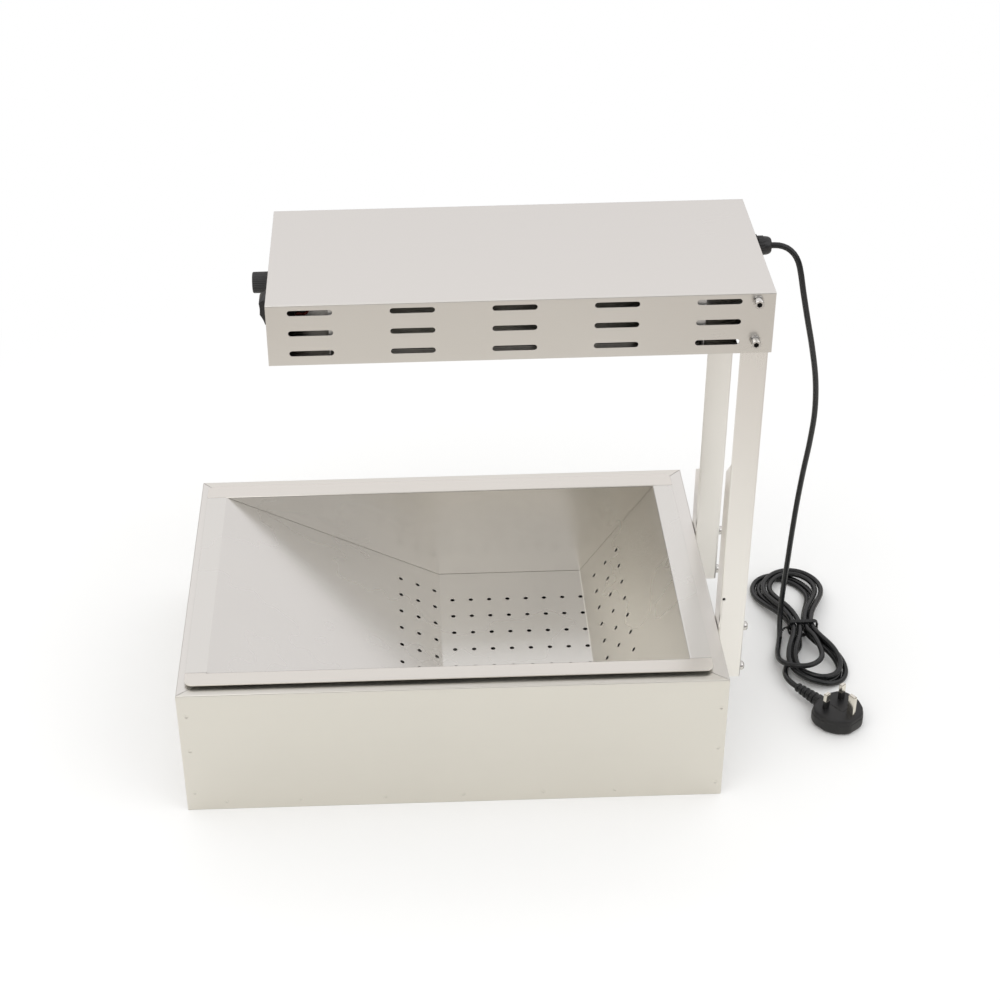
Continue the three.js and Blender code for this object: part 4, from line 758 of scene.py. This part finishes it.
# %% The guard and the reflector
BARS, BAR, BORDER, GUARD_Z = 12, 3, 14, 434.3
width, length = HEATER_X[1] - HEATER_X[0], HEATER_Y[1] - HEATER_Y[0]
middle_x, middle_y = sum(HEATER_X) / 2, sum(HEATER_Y) / 2
pitch = (width - BORDER * 2 + BAR) / BARS
first = HEATER_X[0] + BORDER
gaps = [window(first + i * pitch + (pitch - BAR) / 2, middle_y, pitch - BAR, length - BORDER * 2)
        for i in range(BARS)]
edge = window(middle_x, middle_y, width, length, 4)
guard = Sheet()
guard.face(flat(2, GUARD_Z, edge), [flat(2, GUARD_Z, gap) for gap in gaps], DOWN)
piece(guard.finish("heater_guard", 1.5, 0.4), bright_steel, "guard_grille")

mirror = Sheet()
mirror.fold(
    [(-80, 437.1), (-70, 437.1), (-45, 456), (27, 456), (52, 437.1), (62, 437.1)],
    lambda p, q, s: (s, p, q), lambda p, q: (HEATER_X[0] - TOUCH, HEATER_X[1] + TOUCH), radius=3,
)
piece(mirror.finish("heat_reflector", SHEET), bright_steel, "reflector")

# %% [markdown]
# ## Turned and moulded forms
# A screw, a nut, a knob or a washer is a stack of rings. Each ring has a height and a radius, and the radius
# may change round the axis: that one helper makes a hexagon, a fluted grip, a socket or a plain round.

# %% Stacked rings of points
def stacked(name, rows, bore=False, smooth_to=32):
    """Rows of points in millimetres joined into one closed form."""
    mesh = bmesh.new()
    made = [[mesh.verts.new(p) for p in metres(row)] for row in rows]
    count = len(made[0])
    for low, high in list(zip(made, made[1:])) + ([(made[-1], made[0])] if bore else []):
        for i in range(count):
            j = (i + 1) % count
            mesh.faces.new((low[i], low[j], high[j], high[i]))
    if not bore:
        mesh.faces.new(made[0][::-1])
        mesh.faces.new(made[-1])
    bmesh.ops.recalc_face_normals(mesh, faces=mesh.faces[:])
    form = formed(name, mesh)
    form.data.polygons.foreach_set("use_smooth", [True] * len(form.data.polygons))
    form.data.set_sharp_from_angle(angle=radians(smooth_to))
    return form


AXES = {
    "x": Matrix(((0, 0, 1), (0, 1, 0), (-1, 0, 0))),
    "-x": Matrix(((0, 0, -1), (0, 1, 0), (1, 0, 0))),
    "-y": Matrix(((1, 0, 0), (0, 0, -1), (0, 1, 0))),
}


def ringed(name, rings, axis, at, count=48, bore=False, smooth_to=32):
    """Rings of (height, radius) along an axis; either may change round it, as a function of the turn."""
    way = AXES[axis] if isinstance(axis, str) else axis
    turns = [2 * pi * i / count for i in range(count)]
    rows = []
    for pair in rings:
        row = []
        for turn in turns:
            rise, size = (value(turn) if callable(value) else value for value in pair)
            row.append(way @ Vector((size * cos(turn), size * sin(turn), rise)) + Vector(at))
        rows.append(row)
    return stacked(name, rows, bore, smooth_to)


def hexagon(radius, limit=1e9):
    """The radius of a hexagon round its axis, no more than limit."""
    def at(turn):
        off = (turn + pi / 6) % (pi / 3) - pi / 6
        return min(radius * cos(pi / 6) / cos(off), limit)
    return at


def fluted(high, low, count):
    """The radius of a grip with rounded flutes."""
    return lambda turn: low + (high - low) * abs(cos(turn * count / 2)) ** 0.6


def cross(reach, half_width):
    """The radius of a cross-shaped socket."""
    def at(turn):
        off = (turn + pi / 4) % (pi / 2) - pi / 4
        return min(reach / cos(off), half_width / max(abs(sin(off)), 1e-3))
    return at


def cushion(half_a, half_b, corner_radius):
    """The radius of a rectangle with rounded corners."""
    def at(turn):
        c, s = abs(cos(turn)), abs(sin(turn))
        straight = min(half_a / max(c, 1e-6), half_b / max(s, 1e-6))
        a, b = half_a - corner_radius, half_b - corner_radius
        if straight * c <= a or straight * s <= b:
            return straight
        along = a * c + b * s
        return along + sqrt(max(along ** 2 - a ** 2 - b ** 2 + corner_radius ** 2, 0))
    return at


NUT_HEIGHT = 4


def nut(radius, corner_cut, chamfer, hole):
    """The rings of a nut, its corners cut at both ends."""
    cut, full = hexagon(radius, corner_cut), hexagon(radius)
    top = NUT_HEIGHT
    return [(0, cut), (chamfer, full), (top - chamfer, full), (top, cut), (top, hole), (0, hole)]


def merged(name, *made):
    """Several objects joined into one."""
    mesh = bmesh.new()
    for each in made:
        mesh.from_mesh(each.data)
        bpy.data.objects.remove(each)
    return formed(name, mesh)


# %% [markdown]
# ## Screws
# Two socket-head screws hold the cover to the front post. Each has a knurled head with a hexagon socket, a
# split spring washer and a plain washer. Four pan-head screws hold the posts to the base.

# %% The hood's screws
def coiled(start, rise):
    """A height that climbs once round."""
    return lambda turn: start + rise * turn / (2 * pi)


def hood_screw(label, x, z):
    seat, knurl = (x, HOOD_Y[0] - TOUCH, z), fluted(4.25, 4.1, 32)
    head = ringed("head", [
        (-9.3, 2.35), (2.5, 2.35), (2.5, 4.0), (2.8, knurl), (7.2, knurl), (7.6, 4.05), (7.9, 3.7),
        (7.9, hexagon(2.45)), (7.7, hexagon(2.2)), (5.2, hexagon(2.2)),
    ], "-y", seat, 96)
    below, above = coiled(1.15, 0.3), coiled(2.05, 0.4)
    split = ringed("spring washer", [(below, 3.9), (above, 3.9), (above, 2.6), (below, 2.6)],
                   "-y", seat, bore=True)
    plain = ringed("plain washer", [(0, 4.8), (0.1, 4.9), (1.0, 4.9), (1.1, 4.75), (1.1, 2.6), (0, 2.6)],
                   "-y", seat, bore=True)
    screw = merged("cover_%s_screw" % label, head, split, plain)
    piece(screw, bright_steel, "hood_%s_screw" % label).data.materials.append(painted_shade)
    # faces inside the hexagon socket take the near-black finish: painted shade in the socket
    for face in screw.data.polygons:
        off = face.center / MM - Vector(seat)
        in_shaded_socket = hypot(off.x, off.z) < 2.4 and -7.85 < off.y < -5
        face.material_index = int(in_shaded_socket)


for label, (x, z) in zip(("upper", "lower"), HOOD_SCREWS):
    hood_screw(label, x, z)

# %% The posts' screws and nuts
screw_rings = [
    (-31.1, 2.2), (-30.7, 2.5), (0, 2.5), (0, 4.9), (0.1, 5), (0.9, 5), (1, 4.9), (1, 4.1), (1.2, 4.4),
    (3.0, 4.4), (3.9, 4.1), (4.6, 3.5), (5.0, 2.8), (5.2, 2.3), (5.2, cross(2.0, 0.55)), (3.6, cross(1.0, 0.3)),
]
nut_x = BASE_X - SHEET - TOUCH - NUT_HEIGHT
for row, y in zip(("front", "rear"), POST_SCREW_Y):
    for label, z in zip(("lower", "upper"), POST_SCREW_Z):
        name, node = "%s_upright_%s_" % (row, label), "%s_post_%s_" % (row, label)
        screw = ringed(name + "screw", screw_rings, "x", (POST_X[1] + TOUCH, y, z), 96)
        piece(screw, bright_steel, node + "screw")
        behind = ringed(name + "nut", nut(4.6, 4.1, 0.4, 2.8), "x", (nut_x, y, z), bore=True)
        piece(behind, bright_steel, node + "nut")
print("screws and nuts: 10")

# %% [markdown]
# ## The controls
# A fluted knob turns the heat regulator. Beside it a rocker switch rests with its lower end pressed in.

# %% The knob
LEFT_FACE = HOOD_X[0] - TOUCH
flutes, flutes_end = fluted(9.5, 9.0, 28), fluted(9.4, 8.95, 28)
grip = ringed("grip", [
    (5.3, 8.5), (0, 8.8), (0, 12.0), (0.25, 12.2), (1.5, 12.2), (1.85, 12.0), (2.0, 11.7), (2.0, 9.9),
    (2.3, 9.5), (2.8, flutes), (16.2, flutes_end), (16.8, 9.0), (17.1, 8.6), (17.2, 8.1), (17.1, 7.7),
    (16.8, 7.4), (16.7, 7.0),
], "-x", (LEFT_FACE, *KNOB), 224)
mark = cushion(2.6, 0.7, 0.65)
pointer = ringed("pointer", [(16.5, mark), (17.0, mark), (17.15, cushion(2.45, 0.55, 0.5))],
                 "-x", (LEFT_FACE, KNOB[0], KNOB[1] + 4.2))
piece(merged("heat_knob", grip, pointer), black_satin, "knob", body="knob")

# %% The rocker switch
bezel = ringed("switch_bezel", [(height, cushion(*sizes)) for height, *sizes in (
    (-22.3, 14.5, 11, 1), (0, 14.5, 11, 1), (0, 16, 12.75, 2.2), (1.1, 16, 12.75, 2.2),
    (1.7, 15.7, 12.45, 2.0), (2.0, 15.2, 11.9, 1.6), (2.0, 14.1, 9.7, 0.9), (1.7, 13.7, 9.3, 0.7),
    (-7.3, 13.7, 9.3, 0.7),
)], "-x", (LEFT_FACE, *ROCKER), 128)
piece(bezel, black_plastic, "rocker_switch_body")

# half of the rocker's side view: (distance from its middle, height), from the ridge to below the bezel
TILT, RIDGE, FACE, FACE_END, SAG = radians(12), 9.2, 10.3, 7.2, 0.45
side_line = [(FACE * i / 6, RIDGE + (FACE_END - RIDGE) * i / 6 - SAG * sin(pi * i / 6))
             for i in range(7)]
side_line += [(11.1, 6.5), (11.8, 5.4), (12.4, 3.9), (12.8, 2), (12.95, 0), (12.4, -3)]
profile = side_line + [(-s, n) for s, n in side_line[:0:-1]]
rows = []
for y, inset in ((-9, 0.5), (-8.85, 0.2), (-8.5, 0), (8.5, 0), (8.85, 0.2), (9, 0.5)):
    size = 1 - inset / 13
    rows.append([(
        HOOD_X[0] + 0.5 - size * (s * sin(TILT) + n * cos(TILT)), ROCKER[0] + y,
        ROCKER[1] + size * (s * cos(TILT) - n * sin(TILT)),
    ) for s, n in profile])
piece(stacked("switch_rocker", rows), black_satin, "rocker", body="rocker")

# %% [markdown]
# ## The cable gland
# A hexagon body is locked into the hood's right end, and a ribbed dome nut tapers down to the cord.

# %% The gland
RIGHT_FACE, BORE = HOOD_X[1] + TOUCH, 3.05
hexagonal = ringed("gland_hexagon", [
    (-11.3, 5.6), (-10.9, 6), (0, 6), (0, hexagon(10.2, 9.5)), (0.5, hexagon(10.2)), (4.4, hexagon(10.2)),
    (4.9, hexagon(10.2, 9.4)), (4.9, BORE), (-11.3, BORE),
], "x", (RIGHT_FACE, *GLAND_AT), 72, bore=True)
piece(hexagonal, black_plastic, "gland_body")
ribs = fluted(9.0, 8.45, 18)
dome = ringed("gland_dome", [
    (0, 8.4), (0.3, ribs), (4.8, ribs), (5.2, 8.4), (7.6, 8.25), (9.4, 7.9), (10.7, 7.3), (11.6, 6.6),
    (12, 6.0), (12, 4.4), (11.6, 4.2), (11.6, BORE), (0, BORE),
], "x", (RIGHT_FACE + 5.2, *GLAND_AT), 144, bore=True, smooth_to=40)
piece(dome, black_satin, "gland_dome_nut")
lock = ringed("gland_lock", nut(9.8, 9.1, 0.5, 6.3), "x", (271.2, *GLAND_AT), 72, bore=True)
piece(lock, black_plastic, "gland_locknut")
inside = metres((x, *GLAND_AT) for x in (257.9, 264, 270, 276, 282, 288, 294))
piece(tube("cord_in_gland", inside, CORD_DIAMETER), sheath, "cord_inlet")

# %% [markdown]
# ## The plug
# A moulded plug lies on its back with three pins up. The outline is the real one's, rounded at its corners
# and stacked in rows that draw in at the top and bottom. The two flat pins have black sleeves at their roots.

# %% The plug's own frame
plug_way = Vector((RELIEF_WAY.y, -RELIEF_WAY.x, 0))
PLUG_FRAME = Matrix((plug_way, RELIEF_WAY, Vector(UP))).transposed()
PLUG_AT, CORD_HEIGHT = Vector((375.4, -69.3, 0)), 9


def on_plug(points, height):
    return [PLUG_FRAME @ Vector((a, b, height)) + PLUG_AT for a, b in points]


def rounded(points, cut, steps=5):
    """A closed outline with its corners rounded off."""
    line = []
    for here, *ends in zip(points, points[-1:] + points[:-1], points[1:] + points[:1]):
        here, ways = Vector(here), [Vector(end) - Vector(here) for end in ends]
        a, b = (here + way.normalized() * min(cut, way.length / 2.05) for way in ways)
        for t in (i / steps for i in range(steps + 1)):
            line.append(a.lerp(here, t).lerp(here.lerp(b, t), t))
    return line


PLUG_OUTLINE = rounded([
    (-9, 14.8), (9, 14.8), (20.5, 10), (24.3, 3), (24.3, -12), (18.5, -23), (9, -30.8),
    (-9, -30.8), (-18.5, -23), (-24.3, -12), (-24.3, 3), (-20.5, 10),
], 3)
PLUG_MIDDLE, PLUG_HALF, PLUG_TOP = Vector((0, -8)), 24, 18
shell_rows = []
for height, inset in (
    (0, 4.2), (0.35, 2.9), (1.3, 1.5), (3, 0.5), (5, 0.05), (6.2, 0), (12.4, 0), (12.9, 0.15), (13.1, 0.55),
    (16.2, 0.8), (17.2, 1.3), (17.8, 2.3), (18, 3.8),
):
    size = 1 - inset / PLUG_HALF
    shell_rows.append(on_plug([PLUG_MIDDLE + (p - PLUG_MIDDLE) * size for p in PLUG_OUTLINE], height))
shell = stacked("plug_shell", shell_rows, smooth_to=50)
door = stacked("fuse_door", [
    on_plug(window(0.5, -3.5, 9 - inset, 24 - inset, 1.6), height)
    for height, inset in ((17.7, 0), (18.15, 0), (18.3, 0.25))
])
plug_shell = piece(merged("plug_cushion", shell, door), black_plastic, "plug_body")


# %% The pins
def plug_pin(which, a, b, width, thickness, height, sleeve):
    """A pin with a blunt tip; it stands a little thinner above its sleeve."""
    step = 0.12 if sleeve else 0
    rows = [(-4, 0), (0, 0), (height - 1.6, step), (height - 0.6, 0.45), (height, 1.3)]
    if sleeve:
        rows[2:2] = [(sleeve - 0.01, 0), (sleeve, step)]
    made = stacked("plug_%s_prong" % which, [
        on_plug(window(a, b, width - inset, thickness - inset, 0.6 if inset < 1 else 0.3), PLUG_TOP + z)
        for z, inset in rows
    ])
    piece(made, pin_metal, "plug_%s_pin" % which).data.materials.append(black_plastic)
    for face in made.data.polygons:
        in_sleeve = sleeve and face.center.z < (PLUG_TOP + sleeve - 0.005) * MM
        face.material_index = int(bool(in_sleeve))
    return made


pins = [
    plug_pin("live", -11.1, 0, 6.4, 4, 17.7, 9),
    plug_pin("neutral", 11.1, 0, 6.4, 4, 17.7, 9),
    plug_pin("earth", 0, -22.2, 4, 8, 22.7, 0),
]

# %% The ribbed strain relief
relief_rings = [(12.5, 6.4), (15.1, 6.6), (19.6, 6.5), (20.0, 6.1)]
for i in range(5):
    size, at = 6.5 - 1.95 * i / 5, 20.1 + i * 5.2
    relief_rings += [(at + up, size - thinner) for up, thinner in (
        (0.2, 1.1), (2.3, 1.2), (2.6, 0.45), (2.9, 0.2), (4.8, 0.35), (5.1, 0.6))]
relief_rings += [(45.6, 3.6), (46, 3.1)]
along_relief = Matrix((plug_way, Vector(DOWN), RELIEF_WAY)).transposed()
relief = ringed("plug_relief", relief_rings, along_relief, PLUG_AT + Vector((0, 0, CORD_HEIGHT)), 40)
piece(relief, sheath, "plug_strain_relief")

# %% [markdown]
# ## The tie
# A thin twist tie goes three times round the hank's waist and ends in a short twisted tail.

# %% The tie
TIE, WRAPS, TIE_AT, TIE_WIDTH, FLOOR_GAP = 1.9, 3, (369, 60), 4.8, 0.3
CORD_RADIUS = CORD_DIAMETER / MM / 2
low = WAIST_Z - CORD_RADIUS
top = WAIST_Z + LANE + CORD_RADIUS
half_wide = WAIST + LANE + CORD_RADIUS + 1.2
foot = FLOOR_GAP + TIE / 2
lane = rounded([
    (half_wide + 1, low - 1), (half_wide + 1, top + 1), (-half_wide - 1, top + 1), (-half_wide - 1, low - 1),
    (-8.8, foot), (1.6, foot),
], 4, 6)
steps = WRAPS * len(lane)
wrap = metres((TIE_AT[0] + lane[i % len(lane)][0], TIE_AT[1] - TIE_WIDTH / 2 + TIE_WIDTH * i / steps,
               lane[i % len(lane)][1]) for i in range(steps + 1))
middle = smooth(metres([(354.5, 60, 12), (351, 59.5, 12.4), (347.6, 56.5, 11.6), (345.2, 52, 10.6),
                        (344.2, 47.4, 10.2)]), 0.0008)
TWIST, APART = 0.9, 0.42
tie_parts = [tube("wrap", wrap, TIE * MM, 8)]
for phase in (0, pi):
    strand = []
    for i, spot in enumerate(middle):
        turn = phase + i * TWIST
        strand.append(spot + Vector((cos(turn), 0, sin(turn))) * TIE * APART * MM)
    tie_parts.append(tube("strand", strand, TIE * 0.8 * MM, 8))
meshes = []
for each in tie_parts:
    bpy.context.view_layer.update()
    solid = bpy.data.meshes.new_from_object(each.evaluated_get(bpy.context.evaluated_depsgraph_get()))
    meshes.append(link("part", solid))
    bpy.data.objects.remove(each)
twist_tie = piece(merged("twist_tie", *meshes), sheath, "cord_tie")

# %% [markdown]
# ## Inside the hood
# The heater is a milky quartz tube in two ceramic caps. Insulated wires join it to the regulator, the switch
# and the terminal block, through the two partitions.

# %% The heater and the wires
HEATER_AT = (-9, 446)
heater = ringed("heater_tube", [(-97.7, 5.6), (-97.3, 6), (218.3, 6), (218.7, 5.6)], "x", (0, *HEATER_AT), 40)
piece(heater, quartz, "quartz_tube")
cap_rings = [(0, 7.4), (0.6, 8), (13.4, 8), (14, 7.4), (14, 6.6), (13.7, 6.3), (8, 6.3)]
for side, closed, axis in (("left", -106, "x"), ("right", 227, "-x")):
    piece(ringed(side + "_cap", cap_rings, axis, (closed, *HEATER_AT), 40), ceramic, side + "_ceramic_cap")

ROUTES = {
    "live": [(235.7, 20, 473), (223, 20, 473), (210, 20, 473), (60.5, -11, 469), (-89, -42, 473),
             (-102, -42, 473), (-111.7, -45, 465), (-119.7, -48, 454), (-127.7, -48, 454)],
    "neutral": [(246.8, 25, 462.7), (246.8, 25, 454.7), (243.3, 7, 448), (235.3, -9, 446), (227.3, -9, 446)],
    "regulator": [(-127.7, -42, 463), (-119.7, -42, 463), (-108.4, -21.5, 464), (-112.4, -1, 465),
                  (-120.4, -1, 465)],
    "element": [(-120.4, 13, 449), (-116.4, 13, 449), (-113.4, 2, 447.5), (-110.3, -9, 446),
                (-106.3, -9, 446)],
}
WIRE = 2.6 * MM
for name, spots in ROUTES.items():
    lead = tube("lead_" + name, smooth(metres(spots), 0.002), WIRE, 12)
    piece(lead, red_wire if name in ("live", "regulator") else blue_wire, "wire_" + name)

# %% The partitions
WIRE_HOLE, WIRE_Z, CAP_HOLE, FLANGE, FLANGE_FOOT = 2.6, 473, 8.3, 10, 453


def partition(side, way, wire_y):
    """A plate at the reflector's end, turned out at the top and in at the front, where slots show it."""
    low, high = corner[side + "_partition"]
    x, lip = (high[0], low[0]) if way < 0 else (low[0], high[0])
    front, foot, top = low[1] + SHEET, low[2], high[2]
    holes = [flat(0, x, disc(*HEATER_AT, CAP_HOLE, 32)), flat(0, x, disc(wire_y, WIRE_Z, WIRE_HOLE, 32))]
    sheet = Sheet()
    sheet.face(flat(0, x, oblong(front, high[1], foot, top) + [(front, FLANGE_FOOT)]), holes, (-way, 0, 0))
    sheet.face(flat(1, front, oblong(x, x - way * FLANGE, FLANGE_FOOT, top)), [], REAR)
    sheet.face(flat(2, top, oblong(x, lip, front, high[1])), [], UP)
    piece(sheet.finish(side + "_heater_wall", SHEET * 0.98), dull_steel, side + "_partition")


partition("left", -1, -42)
partition("right", 1, 20)

# %% Finishes of the pieces that stay as the CAD has them
KEPT = {
    "base_floor_tray": steel_x, "post_tie_plate": steel_y, "regulator_body": black_plastic,
    "regulator_spindle": bright_steel, "regulator_nut": bright_steel, "terminal_block": ceramic,
}
for name, finish in KEPT.items():
    nodes[name].data.materials.clear()
    nodes[name].data.materials.append(finish)
supply_cord.data.materials.append(sheath)

# %% [markdown]
# ## Floor and light
# The photograph has a white ground. The floor is near white and keeps the object's shadow; the world is white
# to the camera. For reflections both fall off gently, so that the flat steel isn't one even tone: a white box
# all round would make metal look like paper.

# %% The floor
FLOOR_RADIUS, FLOOR_Z, WHITE = 14, -0.0002, (1, 1, 1, 1)
ground = bmesh.new()
ground.faces.new([ground.verts.new((x, y, FLOOR_Z)) for x, y in disc(0, 0, FLOOR_RADIUS, 96)])
floor = formed("floor", ground)
floor_finish = bpy.data.materials.new("pale floor")
floor_finish.use_nodes = True
tree = floor_finish.node_tree
shader = tree.nodes["Principled BSDF"]
shader.inputs["Roughness"].default_value = 0.9
shader.inputs["Specular IOR Level"].default_value = 0.1
spot = wire(tree, "ShaderNodeTexCoord").outputs["Object"]
distance = wire(tree, "ShaderNodeVectorMath", {0: spot}, operation="LENGTH").outputs["Value"]
ray = wire(tree, "ShaderNodeLightPath").outputs
# mirrored in the steel, the floor darkens away from the warmer
far = spread(tree, distance, 0, 1, 0.45, 0.95)
mirrored = mixed(tree, far, (0.80, 0.787, 0.752, 1), (0.53, 0.495, 0.46, 1))
colour = mixed(tree, ray["Is Glossy Ray"], (0.96, 0.96, 0.955, 1), mirrored)
tree.links.new(colour, shader.inputs["Base Color"])
# seen by the camera, it fades to white
white = wire(tree, "ShaderNodeEmission", {"Color": WHITE, "Strength": 1})
clear = spread(tree, distance, 0, 1, 0.42, 0.95, "SMOOTHSTEP")
backdrop = combined(tree, "MULTIPLY", clear, ray["Is Camera Ray"])
faded = wire(tree, "ShaderNodeMixShader", {0: backdrop, 1: shader.outputs[0], 2: white.outputs[0]})
tree.links.new(faded.outputs[0], tree.nodes["Material Output"].inputs["Surface"])
floor.data.materials.append(floor_finish)

# %% World and lamps
world = bpy.data.worlds.new("studio")
bpy.context.scene.world = world
world.use_nodes = True
sky = world.node_tree
sky.nodes.clear()
way = wire(sky, "ShaderNodeSeparateXYZ", {0: wire(sky, "ShaderNodeTexCoord").outputs["Generated"]}).outputs
shade = wire(sky, "ShaderNodeValToRGB", {0: spread(sky, way["Z"], 0, 1, -1, 1)})
# from straight down to straight up: pale, a dark band at the horizon, pale again
stops = shade.color_ramp.elements
stops[0].color, stops[1].color = (0.70, 0.69, 0.65, 1), (0.87, 0.86, 0.85, 1)
for at, colour in ((0.46, (0.37, 0.35, 0.33, 1)), (0.53, (0.20, 0.19, 0.18, 1)),
                   (0.60, (0.27, 0.26, 0.25, 1)), (0.68, (0.91, 0.88, 0.89, 1))):
    stops.new(at).color = colour
dim_front = spread(sky, way["Y"], 0.66, 1, -0.8, -0.1)
soft_sky = wire(sky, "ShaderNodeBackground", {"Color": shade.outputs[0], "Strength": dim_front})
plain = wire(sky, "ShaderNodeBackground", {"Color": WHITE, "Strength": 1})
glossy = wire(sky, "ShaderNodeLightPath").outputs["Is Glossy Ray"]
either = wire(sky, "ShaderNodeMixShader", {0: glossy, 1: plain.outputs[0], 2: soft_sky.outputs[0]})
wire(sky, "ShaderNodeOutputWorld", {0: either.outputs[0]})

AIM = Vector((0, 0, 0.2))
for name, at, size, watts, colour in (("key", (-1.2, -1.6, 2.4), 2.4, 13, (1, 0.98, 0.95)),
                                      ("fill", (1.8, -1.2, 1.8), 2.0, 6, (0.98, 0.99, 1))):
    lamp = bpy.data.lights.new(name, "AREA")
    lamp.shape, lamp.size, lamp.energy, lamp.color = "DISK", size, watts, colour
    made = link(name, lamp)
    made.location = at
    made.rotation_euler = (AIM - Vector(at)).to_track_quat("-Z", "Y").to_euler()
bpy.context.scene.view_settings.view_transform = "Standard"
